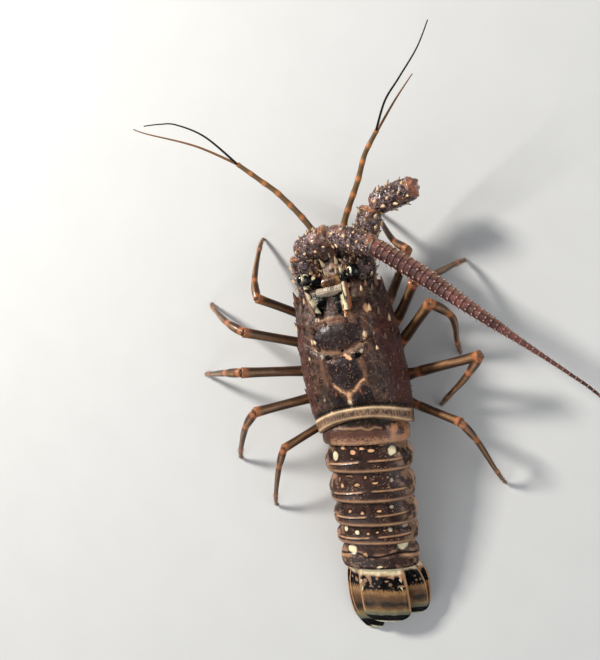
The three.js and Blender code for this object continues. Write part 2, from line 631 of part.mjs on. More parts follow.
// The tail fan. A blade is a thin plate between two edges, given across and over the frame of the back.
const BLADE_STEPS = 8;
const BLADE_SIDES = 10;
function blade({ from, length, inner, outer, high, low, thick, bow, roundFrom = 0.72 }) {
  return loft(BLADE_STEPS, BLADE_SIDES, (u, v) => {
    const t = 1 - (1 - u) ** 1.5;
    const s = from + length * t;
    const end = t > roundFrom ? (1 - ((t - roundFrom) / (1 - roundFrom)) ** 2.6 * 0.9) ** 0.5 : 1;
    const middle = (along(inner, t) + along(outer, t)) / 2;
    const half = ((along(outer, t) - along(inner, t)) / 2) * end;
    const count = BLADE_SIDES / 2;
    const j = Math.round(v * BLADE_SIDES);
    const below = j >= count;
    const across = below ? 1 - (j - count) / (count - 1) : j / (count - 1);
    const rim = Math.min(across, 1 - across) * 6;
    const share = (across - 0.5) * 2 * end;
    const top = mix(along(high, t), along(low, t), (share + 1) / 2) - bow * share * share;
    const full = along(thick, t) * Math.min(1, 0.45 + rim);
    const p = at(middle + half * (across - 0.5) * 2, 0, below ? top - full : top).applyMatrix4(backFrame(s));
    return onFloor(p, below ? 0 : full);
  });
}
function telson() {
  const height = [-0.6, 0, 0, 0.4, 0.6];
  const body = blade({
    from: FAN_START,
    length: TELSON_LENGTH,
    inner: [-14.4, -15.2, -15.6, -15.6, -15.2],
    outer: [15.6, 16.8, 17.2, 17, 16.4],
    high: height,
    low: height,
    thick: [3, 2.6, 1.6, 1.2, 0.9],
    bow: 1.5,
    roundFrom: 0.8,
  });
  const spines = [];
  for (const side of [-1, 1])
    for (const behind of [9, 15]) {
      const barb = spine(at(side * 13.2, 0, -1.4), at(side * 0.35, -1, 0.12), 3.4, 1);
      spines.push(barb.applyMatrix4(backFrame(FAN_START + behind)));
    }
  return fuse([body, ...spines]);
}
node("telson", telson(), FINISH.fan);

// The side blades lie under the telson, the outer pair lowest. Each has its inner and outer edge from
// root to end. The left pair is swung further back, so that its ends show beside the telson's.
const BLADES = {
  right: {
    inner: { length: 37.5, inner: [14.6, 13, 12.4, 12, 12], outer: [21, 26, 28.2, 28, 27] },
    outer: { length: 38, inner: [19.5, 17, 15.6, 15, 15], outer: [24.4, 29.2, 30, 29.4, 28] },
  },
  left: {
    inner: { length: 50, inner: [-14.6, -12, -8, -4, -2], outer: [-21, -23.6, -24.6, -22.6, -18] },
    outer: { length: 52.5, inner: [-19.5, -17, -14, -10, -7], outer: [-24.4, -26.4, -27, -25.6, -21] },
  },
};
const BLADE_HEIGHT = {
  inner: { high: [-5, -4.6, -4.2, -3.9, -3.7], low: [-9, -8.4, -7.4, -6.5, -5.9] },
  outer: { high: [-10.6, -8.6, -7.4, -6.4, -5.8], low: [-12.8, -12, -10.6, -9, -7.8] },
};
for (const [name, blades] of Object.entries(BLADES))
  for (const [place, edges] of Object.entries(blades)) {
    const shape = { from: FAN_START, ...edges, ...BLADE_HEIGHT[place] };
    const body = blade({ ...shape, thick: [2.2, 1.5, 1.1, 0.9, 0.8], bow: 0.3 });
    node("uropod_" + name + "_" + place, body, FINISH.fan);
  }

// The part's own origin is on the floor, under the middle of its outline.
const outline = new THREE.Box3().setFromObject(lobster);
const middle = outline.getCenter(new THREE.Vector3());
lobster.position.set(-middle.x, -middle.y, 0);

export default lobster;
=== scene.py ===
"""A spiny lobster's looks: fine shell plates, feelers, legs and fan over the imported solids."""
import math
import random

import bpy
import numpy as np
from mathutils import Matrix, Vector


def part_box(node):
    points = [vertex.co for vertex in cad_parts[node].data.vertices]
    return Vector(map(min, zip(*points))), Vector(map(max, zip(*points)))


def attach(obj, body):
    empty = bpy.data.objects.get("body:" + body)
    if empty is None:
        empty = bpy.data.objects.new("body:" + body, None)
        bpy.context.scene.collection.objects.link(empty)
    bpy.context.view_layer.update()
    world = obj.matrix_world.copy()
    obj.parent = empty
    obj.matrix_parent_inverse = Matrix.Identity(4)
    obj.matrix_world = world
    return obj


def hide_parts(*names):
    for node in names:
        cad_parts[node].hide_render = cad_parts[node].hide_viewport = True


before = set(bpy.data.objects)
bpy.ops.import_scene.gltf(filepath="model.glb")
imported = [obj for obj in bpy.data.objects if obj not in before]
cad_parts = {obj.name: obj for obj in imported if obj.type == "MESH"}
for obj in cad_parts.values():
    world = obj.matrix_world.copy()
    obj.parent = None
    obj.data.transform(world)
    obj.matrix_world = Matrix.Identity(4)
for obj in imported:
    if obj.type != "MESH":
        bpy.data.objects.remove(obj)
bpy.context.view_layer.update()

# Body sizes in millimetres: x is the animal's right, y its front, z up, and y = 0 is the
# middle of the carapace's rear rim. They are the same as in the solids.
SHELL_LENGTH = 86
SHELL_WIDTH = [31.5, 33.2, 34, 34, 33.8, 33.4, 32.6, 31.4, 29.4]
SHELL_TOP = [50, 55, 58.5, 60.5, 61, 60.4, 59, 56.6, 52.5]
SHELL_WIDEST_Z = 32
SHELL_BOTTOM_Z = 17
KEEL_SHARE = 0.74
RIM_HOLLOW = 7.5
RIM_RISE = 2
RIM_TURN = 0.05
HEAD_FRONT = SHELL_LENGTH + 2.5
FACE_MIDDLE_Z = 33
BACK_START_Z = 49.5
TAIL_YAW = 7.5
TAIL_PITCH_FIRST = 7
TAIL_PITCH_GAIN = 0.115
RINGS_END = [0, 15.5, 34, 54.5, 71, 84, 102]
TAIL_HALF_WIDTH = [27, 27.8, 27.6, 26.8, 26.2, 25.8, 24.8]
TAIL_HEIGHT = [27, 26.5, 25.5, 24, 22, 19, 16.5]
PLEURON_DROP = [3, 8, 9, 9, 8, 5]
TOOTH = [0, 0.3, 0.62, 0.9, 1, 0.5, 0.12]
FAN_START = RINGS_END[6] + 0.15
TELSON_LENGTH = 41

# Colours of the living shell, as linear red, green and blue.
CHAR = (0.060, 0.036, 0.038)
MAHOGANY = (0.105, 0.048, 0.036)
PLUM = (0.070, 0.034, 0.040)
WINE = (0.150, 0.034, 0.024)
RUST = (0.190, 0.045, 0.016)
CLAY = (0.270, 0.128, 0.074)
SAND = (0.42, 0.23, 0.125)
ORANGE = (0.66, 0.23, 0.075)
PEACH = (0.74, 0.40, 0.21)
CREAM = (0.80, 0.68, 0.43)
BONE = (0.50, 0.43, 0.30)
BLACK = (0.005, 0.005, 0.006)
GOLD = (0.38, 0.175, 0.052)
OLIVE = (0.075, 0.048, 0.020)
MAUVE = (0.25, 0.125, 0.115)
UMBER = (0.140, 0.066, 0.043)
DARK_CHEEK = (0.080, 0.048, 0.036)
AMBER_BROWN = (0.12, 0.060, 0.030)
AMBER_YELLOW = (0.34, 0.20, 0.07)
FROST = (0.56, 0.38, 0.31)

low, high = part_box("carapace")
SIDES = ((-1, "left"), (1, "right"))
REAR_REACH = RIM_HOLLOW - RIM_RISE + RIM_TURN * SHELL_WIDTH[0]
SHIFT = np.array([(low.x + high.x) / 2, low.y + REAR_REACH / 1000, 0.0])


# Short helpers for numbers and curves.
def smooth(value, first, last):
    """Rises softly from 0 at first to 1 at last."""
    share = np.clip((value - first) / (last - first), 0, 1)
    return share * share * (3 - 2 * share)


def mix(a, b, share):
    """The value between a and b at a share of the way."""
    return a + (b - a) * share


def bell(value, middle, width):
    """1 at the middle, falling to both sides."""
    return np.exp(-(((value - middle) / width) ** 2))


def eased(values, share):
    """A smooth curve through evenly spaced values, for a share of its length."""
    values = np.asarray(values, float)
    place = np.clip(share, 0, 1) * (len(values) - 1)
    i = np.minimum(np.floor(place).astype(int), len(values) - 2)
    t = place - i
    before = values[np.maximum(i - 1, 0)]
    after = values[np.minimum(i + 2, len(values) - 1)]
    a, b = values[i], values[i + 1]
    if values.ndim > 1:
        t = t[..., None]
    slope_a = (b - before) / 2
    slope_b = (after - a) / 2
    return (
        (2 * t**3 - 3 * t**2 + 1) * a
        + (t**3 - 2 * t**2 + t) * slope_a
        + (3 * t**2 - 2 * t**3) * b
        + (t**3 - t**2) * slope_b
    )


def grain(places, size, seed=0):
    """Soft random values from 0 to 1 over space, whose blotches are about size wide."""
    cell = places / size
    base = np.floor(cell).astype(np.int64)
    part = cell - base
    part = part * part * (3 - 2 * part)
    total = np.zeros(places.shape[:-1])
    for corner in range(8):
        step = np.array([corner & 1, corner >> 1 & 1, corner >> 2 & 1])
        spot = (base + step) * np.array([73856093, 19349663, 83492791])
        key = (spot[..., 0] ^ spot[..., 1] ^ spot[..., 2]) + seed * 7919
        key = (key * 1103515245 + 12345) & 0x7FFFFFFF
        key = (key >> 7 ^ key) * 1103515245 + 12345 & 0x7FFFFFFF
        weight = np.prod(np.where(step, part, 1 - part), axis=-1)
        total += weight * ((key >> 8) % 4096) / 4095
    return total


def line_distance(x, y, line):
    """Each point's distance from a bent line."""
    best = np.full(np.shape(x), 1e9)
    for (ax, ay), (bx, by) in zip(line[:-1], line[1:]):
        dx, dy = bx - ax, by - ay
        share = np.clip(((x - ax) * dx + (y - ay) * dy) / (dx * dx + dy * dy), 0, 1)
        best = np.minimum(best, np.hypot(x - ax - share * dx, y - ay - share * dy))
    return best


def oval(x, y, centre, length, width, turn=0, soft=0.25):
    """1 inside an oval patch and 0 outside it; its length lies along y before it is turned."""
    angle = math.radians(turn)
    dx, dy = x - centre[0], y - centre[1]
    across = (dx * math.cos(angle) + dy * math.sin(angle)) / (width / 2)
    ahead = (dy * math.cos(angle) - dx * math.sin(angle)) / (length / 2)
    return 1 - smooth(np.hypot(across, ahead), 1 - soft, 1 + soft)


class Paint:
    """One colour for each point of a surface."""

    def __init__(self, places, colour):
        self.places = places
        self.tint = np.broadcast_to(np.array(colour, float), places.shape)

    def lay(self, colour, amount):
        """Lays a colour over the paint, by an amount from 0 to 1."""
        share = np.broadcast_to(np.clip(amount, 0, 1), self.tint.shape[:-1])
        self.tint = mix(self.tint, np.asarray(colour), share[..., None])
        return self

    def blotch(self, colour, amount, size, seed, low, high):
        """Lays a colour in random blotches of about this size."""
        return self.lay(colour, amount * patches(self.places, size, seed, low, high))


def patches(places, size, seed, low, high):
    """1 where the grain's values are above high and 0 where they are below low."""
    return smooth(grain(places, size, seed), low, high)


def normalised(vectors):
    return vectors / np.maximum(np.linalg.norm(vectors, axis=-1, keepdims=True), 1e-9)


def shares(count):
    """Even steps from 0 to 1, down a column."""
    return np.linspace(0, 1, count)[:, None]


def round_turns(count):
    """Even turns round a circle, along a row."""
    return np.linspace(0, 2 * math.pi, count, endpoint=False)[None, :]


def ball_points(polar, turn):
    """Points of a ball of radius 1 whose poles lie on x."""
    across = np.sin(polar)
    return np.stack([np.cos(polar) + 0 * turn, across * np.cos(turn), across * np.sin(turn)], axis=-1)


def out_from(axis, turn):
    """The direction across an axis at a turn round it."""
    side = normalised(np.cross([0, 0, 1], axis))
    return side * math.cos(turn) + np.cross(axis, side) * math.sin(turn)


# Meshes.
def row_frame(places):
    """Body millimetres as metres in the shared frame."""
    return np.asarray(places, float) / 1000 + SHIFT


def store_tint(mesh, paint):
    """Keeps the paint on the mesh's points, its dark parts deepened and its light ones kept."""
    strength = 1.15 * paint.max(axis=1, keepdims=True) ** 0.5
    rgba = np.concatenate([paint * strength, np.ones((len(paint), 1))], axis=1)
    tint = mesh.attributes.new("tint", "FLOAT_COLOR", "POINT")
    tint.data.foreach_set("color", rgba.astype(np.float32).ravel())


def put_in_scene(name, data):
    thing = bpy.data.objects.new(name, data)
    bpy.context.scene.collection.objects.link(thing)
    return thing


def finish_piece(piece, slot, *nodes):
    """Hangs the piece from the root and hides the solids that it stands for. Its slot is not used."""
    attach(piece, "root")
    if nodes:
        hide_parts(*nodes)
    return piece


def enclosed(places, faces):
    """The volume within the faces, below zero where they face inwards."""
    total = 0.0
    for size in (3, 4):
        group = np.array([f for f in faces if len(f) == size])
        for k in range(1, size - 1) if len(group) else ():
            a, b, c = places[group[:, 0]], places[group[:, k]], places[group[:, k + 1]]
            total += np.einsum("ij,ij->", a, np.cross(b, c))
    return total


def loft_faces(steps, sides):
    """Faces of a closed body through steps rings of points, with a middle point at each end."""
    faces = []
    for i in range(steps - 1):
        for j in range(sides):
            a = i * sides + j
            b = i * sides + (j + 1) % sides
            faces.append((a, b, b + sides, a + sides))
    first, last = steps * sides, steps * sides + 1
    end = (steps - 1) * sides
    for j in range(sides):
        k = (j + 1) % sides
        faces.append((first, k, j))
        faces.append((last, end + j, end + k))
    return faces


def with_ends(values):
    """The rings' values in one list, with each end's mean added for its middle point."""
    flat = values.reshape(-1, *values.shape[2:])
    return np.concatenate([flat, values[:1].mean(axis=1), values[-1:].mean(axis=1)])


def loft(name, rings, material, paint, slot, *nodes):
    """A finished, closed body through rings[step, side]. The paint follows its points."""
    steps, sides = rings.shape[:2]
    places = with_ends(rings)
    faces = loft_faces(steps, sides)
    if enclosed(places, faces) < 0:
        faces = [f[::-1] for f in faces]
    mesh = bpy.data.meshes.new(name)
    mesh.from_pydata(row_frame(places).tolist(), [], faces)
    store_tint(mesh, with_ends(paint.tint))
    mesh.shade_smooth()
    mesh.materials.append(material)
    finish_piece(put_in_scene(name, mesh), slot, *nodes)


def ring_normals(rings):
    """Outward directions on a lofted surface."""
    ahead = np.gradient(rings, axis=0)
    around = np.roll(rings, -1, axis=1) - np.roll(rings, 1, axis=1)
    normals = normalised(np.cross(ahead, around))
    out = rings - rings.mean(axis=1, keepdims=True)
    flip = np.sign(np.einsum("ijk,ijk->", normals, out)) or 1
    return normals * flip


def lifted(rings, lift):
    """The rings moved outwards along their normals."""
    return rings + ring_normals(rings) * lift[..., None]


def spline(points, count):
    """Evenly placed points on a smooth curve through the given ones, and their directions."""
    dense = eased(points, np.linspace(0, 1, 40 * len(points)))
    reach = np.concatenate([[0], np.cumsum(np.linalg.norm(np.diff(dense, axis=0), axis=1))])
    wanted = np.linspace(0, reach[-1], count)
    places = np.stack([np.interp(wanted, reach, dense[:, k]) for k in range(3)], axis=1)
    return places, normalised(np.gradient(places, axis=0))


def path_frames(points, count):
    """Points along a curve, with a sideways and an upward direction that don't twist."""
    centre, ahead = spline(points, count)
    start = np.array([1.0, 0, 0]) if abs(ahead[0][2]) > 0.9 else np.cross([0, 0, 1], ahead[0])
    across = [start]
    for direction in ahead:
        side = across[-1] - direction * np.dot(across[-1], direction)
        across.append(side / np.linalg.norm(side))
    across = np.array(across[1:])
    return centre, across, np.cross(ahead, across)


def tube_rings(points, count, sides, wide, tall=None):
    """Rings of a tube along a curve. wide and tall give its half sizes for a share of its length."""
    centre, across, over = path_frames(points, count)
    u = shares(count)
    turn = round_turns(sides)
    a = wide(u, turn)
    b = (tall or wide)(u, turn)
    return (
        centre[:, None]
        + across[:, None] * (a * np.cos(turn))[..., None]
        + over[:, None] * (b * np.sin(turn))[..., None]
    )


# Materials.
def add(tree, kind, inputs=None, **settings):
    """A node with its settings, and with its inputs set or linked."""
    node = tree.nodes.new(kind)
    for key, value in settings.items():
        setattr(node, key, value)
    for key, value in (inputs or {}).items():
        if isinstance(value, bpy.types.NodeSocket):
            tree.links.new(value, node.inputs[key])
        else:
            node.inputs[key].default_value = value
    return node


def blended(tree, factor, first, second, how="MIX"):
    first, second = (c if isinstance(c, bpy.types.NodeSocket) else (*c, 1) for c in (first, second))
    inputs = {0: factor, 6: first, 7: second}
    return add(tree, "ShaderNodeMix", inputs, data_type="RGBA", blend_type=how).outputs[2]


def maths(tree, operation, *values):
    return add(tree, "ShaderNodeMath", dict(enumerate(values)), operation=operation).outputs[0]


def noise(tree, place, scale, detail, roughness=0.5):
    inputs = {"Vector": place, "Scale": scale, "Detail": detail, "Roughness": roughness}
    return add(tree, "ShaderNodeTexNoise", inputs).outputs[0]


def new_material(name):
    """A material with its tree, its shader and the object's own coordinates."""
    material = bpy.data.materials.new(name)
    material.use_nodes = True
    tree = material.node_tree
    return material, tree, tree.nodes["Principled BSDF"], add(tree, "ShaderNodeTexCoord").outputs["Object"]


def set_bump(tree, shader, strength, distance, height):
    bump = add(tree, "ShaderNodeBump", {"Strength": strength, "Distance": distance, "Height": height})
    tree.links.new(bump.outputs[0], shader.inputs["Normal"])


def spread(tree, value, first, last, to_first=0.0, to_last=1.0):
    """A value's range from first to last, spread over another one."""
    inputs = {
        "Value": value,
        "From Min": first,
        "From Max": last,
        "To Min": to_first,
        "To Max": to_last,
    }
    return add(tree, "ShaderNodeMapRange", inputs).outputs[0]


GRIT_SCALE = 1400


def shell_finish(name, speck=CREAM, specks=0.5, speck_scale=900, blotch=0.5, blotch_scale=120,
                 rough=(0.3, 0.5), pores=0.35, coat=0.25):
    """A hard, damp shell: its painted tint, mottled and specked, with fine grit and pores."""
    material, tree, shader, place = new_material(name)
    tint = add(tree, "ShaderNodeAttribute", attribute_name="tint").outputs["Color"]
    shade = spread(tree, noise(tree, place, blotch_scale, 6, 0.65), 0.3, 0.7, 1 - blotch, 1 + blotch)
    grey = add(tree, "ShaderNodeCombineColor", {"Red": shade, "Green": shade, "Blue": shade}).outputs[0]
    colour = blended(tree, 1.0, tint, grey, "MULTIPLY")
    # Light specks laid into the base colour. On the mottled shell they are partly painted wet glints as
    # well as pale points.
    cells = add(tree, "ShaderNodeTexVoronoi", {"Vector": place, "Scale": speck_scale}).outputs[0]
    where = spread(tree, noise(tree, place, blotch_scale * 1.7, 2), 0.48, 0.62)
    dots = maths(tree, "MULTIPLY", spread(tree, cells, 0.12, 0.26, 1, 0), where)
    colour = blended(tree, maths(tree, "MULTIPLY", dots, specks), colour, speck)
    tree.links.new(colour, shader.inputs["Base Color"])
    grit = noise(tree, place, GRIT_SCALE, 4, 0.6)
    tree.links.new(spread(tree, grit, 0.25, 0.75, *rough), shader.inputs["Roughness"])
    set_bump(tree, shader, pores, 0.0004, maths(tree, "ADD", grit, dots))
    tree.links.new(spread(tree, tint, 0.0, 0.035, 0.06, 0.3), shader.inputs["Specular IOR Level"])
    shader.inputs["Coat Weight"].default_value = coat
    shader.inputs["Coat Roughness"].default_value = 0.1
    return material


def thorn_finish(name, base, middle, tip, rough=0.42):
    """Thorns and bristles, coloured from root to tip by their own 'along' value."""
    material, tree, shader, place = new_material(name)
    along = add(tree, "ShaderNodeAttribute", attribute_name="along").outputs["Fac"]
    tone = add(tree, "ShaderNodeAttribute", attribute_name="tone").outputs["Fac"]
    grit = noise(tree, place, 700, 4)
    ramp = add(tree, "ShaderNodeValToRGB", {"Fac": maths(tree, "MULTIPLY_ADD", grit, 0.3, along)})
    stops = ramp.color_ramp.elements
    stops[0].position = 0.12
    stops[0].color = (*base, 1)
    stops[1].position = 0.98
    stops[1].color = (*tip, 1)
    for position in (0.42, 0.78):
        stops.new(position).color = (*middle, 1)
    colour = blended(tree, spread(tree, tone, 0, 1, 0.85, 0), ramp.outputs[0], (0.035, 0.016, 0.012))
    tree.links.new(colour, shader.inputs["Base Color"])
    shader.inputs["Roughness"].default_value = rough
    shader.inputs["Coat Weight"].default_value = 0.2
    set_bump(tree, shader, 0.3, 0.0003, grit)
    return material


# The mottled shell's cream specks are partly pale points of the shell and partly painted wet glints.
SHELL = shell_finish("mottled shell", specks=0.35, speck_scale=760, blotch=0.4, rough=(0.34, 0.52),
                     pores=0.3, coat=0.05)
TAIL = shell_finish("tail plate", speck=PEACH, specks=0.6, speck_scale=900, blotch=0.28,
                    rough=(0.26, 0.4), pores=0.2, coat=0.12)
HORN = shell_finish("horn", specks=0.05, blotch=0.2, rough=(0.2, 0.34), pores=0.15, coat=0.25)
STALK = shell_finish("frosted stalk", speck=(0.66, 0.50, 0.46), specks=0.7, speck_scale=1150,
                     blotch=0.5, blotch_scale=190, rough=(0.3, 0.5), pores=0.7, coat=0.35)
LEG = shell_finish("striped leg", specks=0.1, blotch=0.25, blotch_scale=200, rough=(0.28, 0.42),
                   pores=0.2, coat=0.15)
FEELER = shell_finish("feeler", speck=(0.60, 0.34, 0.28), specks=0.15, speck_scale=1500, blotch=0.3,
                      rough=(0.46, 0.62), pores=0.35, coat=0.04)
FAN = shell_finish("fan blade", specks=0.08, blotch=0.2, blotch_scale=240, rough=(0.36, 0.5),
                   pores=0.2, coat=0.15)
BELLY = shell_finish("underside", speck=UMBER, specks=0.4, blotch=0.35, coat=0.15)
EYE = shell_finish("eye", specks=0.0, blotch=0.15, rough=(0.06, 0.12), pores=0.03, coat=0.8)
AMBER = shell_finish("amber bridge", speck=UMBER, specks=0.5, speck_scale=1100, blotch=0.5,
                     blotch_scale=300, rough=(0.2, 0.35), coat=0.5)
SPINE = thorn_finish("orange thorn", (0.03, 0.015, 0.012), (0.17, 0.068, 0.036), (0.03, 0.015, 0.012))
PALE_SPINE = thorn_finish("cream thorn", (0.45, 0.16, 0.06), (0.72, 0.50, 0.29), UMBER)
WHIP_SPINE = thorn_finish("whip thorn", (0.20, 0.085, 0.07), (0.50, 0.30, 0.24), (0.05, 0.022, 0.02))
CREAM_SPINE = thorn_finish("white thorn", BONE, CREAM, PEACH)
BRISTLE = thorn_finish("bristle", UMBER, SAND, BONE, rough=0.6)
FRINGE = thorn_finish("grey fringe", (0.22, 0.16, 0.12), (0.52, 0.42, 0.32), (0.66, 0.57, 0.46), 0.7)


# Geometry Nodes.
def new_tree(name, inputs):
    """An empty tree with a geometry in and out, and the named inputs."""
    tree = bpy.data.node_groups.new(name, "GeometryNodeTree")
    tree.interface.new_socket("Geometry", in_out="INPUT", socket_type="NodeSocketGeometry")
    tree.interface.new_socket("Geometry", in_out="OUTPUT", socket_type="NodeSocketGeometry")
    for key, kind in inputs:
        tree.interface.new_socket(key, in_out="INPUT", socket_type="NodeSocket" + kind)
    return tree, tree.nodes.new("NodeGroupInput").outputs, tree.nodes.new("NodeGroupOutput")


def link_end(tree, geometry, material, output):
    """Makes real faces of the instances, smooths them and gives them their material."""
    real = add(tree, "GeometryNodeRealizeInstances", {"Geometry": geometry}).outputs[0]
    soft = add(tree, "GeometryNodeSetShadeSmooth", {"Geometry": real}).outputs[0]
    done = add(tree, "GeometryNodeSetMaterial", {"Geometry": soft, "Material": material}).outputs[0]
    tree.links.new(done, output.inputs[0])


def named(tree, key, kind="FLOAT"):
    node = add(tree, "GeometryNodeInputNamedAttribute", {"Name": key}, data_type=kind)
    return node.outputs[0]


def stored(tree, geometry, key, value):
    inputs = {"Geometry": geometry, "Name": key, "Value": value}
    kind = {"data_type": "FLOAT", "domain": "POINT"}
    return add(tree, "GeometryNodeStoreNamedAttribute", inputs, **kind).outputs[0]


def thorn_tree():
    """A thorn on every point of a mesh, aimed, sized and leaning as the point's values say."""
    tree, given, output = new_tree("thorns on points", [
        ("Sides", "Int"), ("Rings", "Int"), ("Belly", "Float"), ("Bend", "Float"), ("Material", "Material"),
    ])
    cone = add(tree, "GeometryNodeMeshCone", {
        "Vertices": given["Sides"], "Side Segments": given["Rings"], "Radius Bottom": 1.0,
        "Radius Top": 0.0, "Depth": 1.0})
    place = add(tree, "GeometryNodeInputPosition").outputs[0]
    part = add(tree, "ShaderNodeSeparateXYZ", {0: place}).outputs
    height = part["Z"]
    swell = maths(tree, "MULTIPLY_ADD", height, given["Belly"], 1.0)
    bend = maths(tree, "MULTIPLY", maths(tree, "MULTIPLY", height, height), given["Bend"])
    x = maths(tree, "MULTIPLY_ADD", part["X"], swell, bend)
    y = maths(tree, "MULTIPLY", part["Y"], swell)
    moved = add(tree, "ShaderNodeCombineXYZ", {"X": x, "Y": y, "Z": height}).outputs[0]
    marked = stored(tree, cone.outputs["Mesh"], "along", height)
    shaped = add(tree, "GeometryNodeSetPosition", {"Geometry": marked, "Position": moved}).outputs[0]
    aim = {"Vector": named(tree, "aim", "FLOAT_VECTOR")}
    aimed = add(tree, "FunctionNodeAlignRotationToVector", aim, axis="Z").outputs[0]
    lean = {"Rotation": aimed, "Vector": named(tree, "lean", "FLOAT_VECTOR")}
    turned = add(tree, "FunctionNodeAlignRotationToVector", lean, axis="X", pivot_axis="Z").outputs[0]
    width = named(tree, "width")
    size = {"X": width, "Y": width, "Z": named(tree, "length")}
    size = add(tree, "ShaderNodeCombineXYZ", size).outputs[0]
    placed = add(tree, "GeometryNodeInstanceOnPoints", {
        "Points": given["Geometry"], "Instance": shaped, "Rotation": turned, "Scale": size}).outputs[0]
    link_end(tree, placed, given["Material"], output)
    return tree


def whip_tree():
    """A ringed tube along a bent line, each ring flared towards the tip as a feeler's are."""
    tree, given, output = new_tree("ringed tube", [
        ("Sides", "Int"), ("Step", "Float"), ("Ring", "Float"), ("Flare", "Float"), ("Ribs", "Float"),
        ("Material", "Material"),
    ])
    curve = add(tree, "GeometryNodeMeshToCurve", {"Mesh": given["Geometry"]}).outputs[0]
    fine = add(tree, "GeometryNodeResampleCurve", {"Curve": curve, "Length": given["Step"]}, mode="LENGTH")
    reach = add(tree, "GeometryNodeSplineParameter").outputs["Length"]
    phase = maths(tree, "FRACT", maths(tree, "DIVIDE", reach, given["Ring"]))
    flare = maths(tree, "MULTIPLY_ADD", phase, given["Flare"], 1.0)
    wave = maths(tree, "SINE", maths(tree, "MULTIPLY", phase, 8 * math.pi))
    ribbed = maths(tree, "MULTIPLY_ADD", wave, given["Ribs"], flare)
    radius = maths(tree, "MULTIPLY", named(tree, "thick"), ribbed)
    kept = stored(tree, fine.outputs[0], "phase", phase)
    sized = add(tree, "GeometryNodeSetCurveRadius", {"Curve": kept, "Radius": radius}).outputs[0]
    circle = add(tree, "GeometryNodeCurvePrimitiveCircle", {"Resolution": given["Sides"], "Radius": 1.0})
    body = add(tree, "GeometryNodeCurveToMesh",
               {"Curve": sized, "Profile Curve": circle.outputs[0], "Fill Caps": True})
    if "Scale" in body.inputs:
        tree.links.new(add(tree, "GeometryNodeInputRadius").outputs[0], body.inputs["Scale"])
    link_end(tree, body.outputs[0], given["Material"], output)
    return tree


# How far a thorn's tip hangs over, and how deep its root sits, as shares of its root radius.
THORN_BEND = 0.35
THORN_SUNK = 0.9
THORNS = thorn_tree()
RINGED = whip_tree()


def run_tree(name, mesh, tree, values):
    """The tree's result on a mesh, as a plain object without a modifier."""
    seed = put_in_scene(name + "_roots", mesh)
    modifier = seed.modifiers.new("nodes", "NODES")
    modifier.node_group = tree
    for item in tree.interface.items_tree:
        if item.in_out == "INPUT" and item.name in values:
            modifier[item.identifier] = values[item.name]
    graph = bpy.context.evaluated_depsgraph_get()
    made = bpy.data.meshes.new_from_object(seed.evaluated_get(graph), depsgraph=graph)
    bpy.data.objects.remove(seed)
    made.name = name
    return put_in_scene(name, made)


def grow_thorns(name, roots, material, slot, sides, rings, belly=0.5):
    """Finished thorns from a list of (place, direction, length, root radius, tone), in millimetres."""
    place, aim, length, width, tone = (np.array(column, float) for column in zip(*roots))
    aim = normalised(aim)
    depth = width * THORN_SUNK
    mesh = bpy.data.meshes.new(name)
    mesh.from_pydata(row_frame(place - aim * depth[:, None]).tolist(), [], [])
    for key, values in (
        ("aim", aim),
        ("lean", np.tile([0.0, 1.0, 0.3], (len(roots), 1))),
        ("length", (length + depth) / 1000),
        ("width", width / 1000),
        ("tone", tone),
    ):
        kind, field = ("FLOAT_VECTOR", "vector") if values.ndim > 1 else ("FLOAT", "value")
        kept = mesh.attributes.new(key, kind, "POINT")
        kept.data.foreach_set(field, np.asarray(values, np.float32).ravel())
    settings = {"Sides": sides, "Rings": rings, "Belly": belly, "Bend": THORN_BEND, "Material": material}
    finish_piece(run_tree(name, mesh, THORNS, settings), slot)


def grow_ringed(name, centre, thick, material, sides, step, ring, flare, ribs=0.0):
    """A ringed tube along points in millimetres, with its radius at each of them."""
    mesh = bpy.data.meshes.new(name)
    edges = [(i, i + 1) for i in range(len(centre) - 1)]
    mesh.from_pydata(row_frame(centre).tolist(), edges, [])
    kept = mesh.attributes.new("thick", "FLOAT", "POINT")
    kept.data.foreach_set("value", np.asarray(thick, np.float32) / 1000)
    settings = {"Sides": sides, "Step": step / 1000, "Ring": ring / 1000, "Flare": flare,
                "Ribs": ribs, "Material": material}
    return run_tree(name, mesh, RINGED, settings)


# The carapace.
def neck_groove(x):
    """Where the groove across the back runs, for a place across it."""
    return 44.3 + 0.021 * x * x


def shell_relief(x, y):
    """The groove across the back and the grooved rear rim, as a depth."""
    cervical = 1.6 * bell(y, neck_groove(x), 2.6) * (1 - smooth(np.abs(x), 30, 34))
    return cervical + 1.1 * bell(y, 9, 2)


def shell_point(y, turn, grow=0.0):
    """The carapace's surface for a turn in degrees: 0 on top, 90 at the right side, 180 below."""
    y, turn = np.broadcast_arrays(np.asarray(y, float), np.asarray(turn, float))
    share = y / SHELL_LENGTH
    w = eased(SHELL_WIDTH, share) + grow
    top = eased(SHELL_TOP, share) + grow
    side = np.where(turn < 0, -1.0, 1.0)
    a = np.abs(turn)
    lift = np.clip(np.cos(np.radians(a)), 0, 1)
    upper_x = w * np.sin(np.radians(np.minimum(a, 90))) ** 0.86
    upper_z = SHELL_WIDEST_Z + (top - SHELL_WIDEST_Z) * lift**0.84
    upper_z = upper_z - shell_relief(side * upper_x, y) * lift
    flank = np.clip((a - 90) / 54, 0, 1)
    floor = np.clip((a - 144) / 36, 0, 1)
    lower_x = mix(mix(w, w * KEEL_SHARE, flank**1.8), 0, floor)
    lower_z = mix(SHELL_WIDEST_Z, SHELL_BOTTOM_Z - grow, np.sin(np.radians(90 * flank)))
    upper = a <= 90
    x = side * np.where(upper, upper_x, lower_x)
    hollow = RIM_HOLLOW * np.sin(np.radians(np.minimum(a, 90))) ** 2 - RIM_RISE + RIM_TURN * x
    back = hollow * (1 - smooth(y, 0, 26))
    return np.stack([x, y - back, np.where(upper, upper_z, lower_z)], axis=-1)


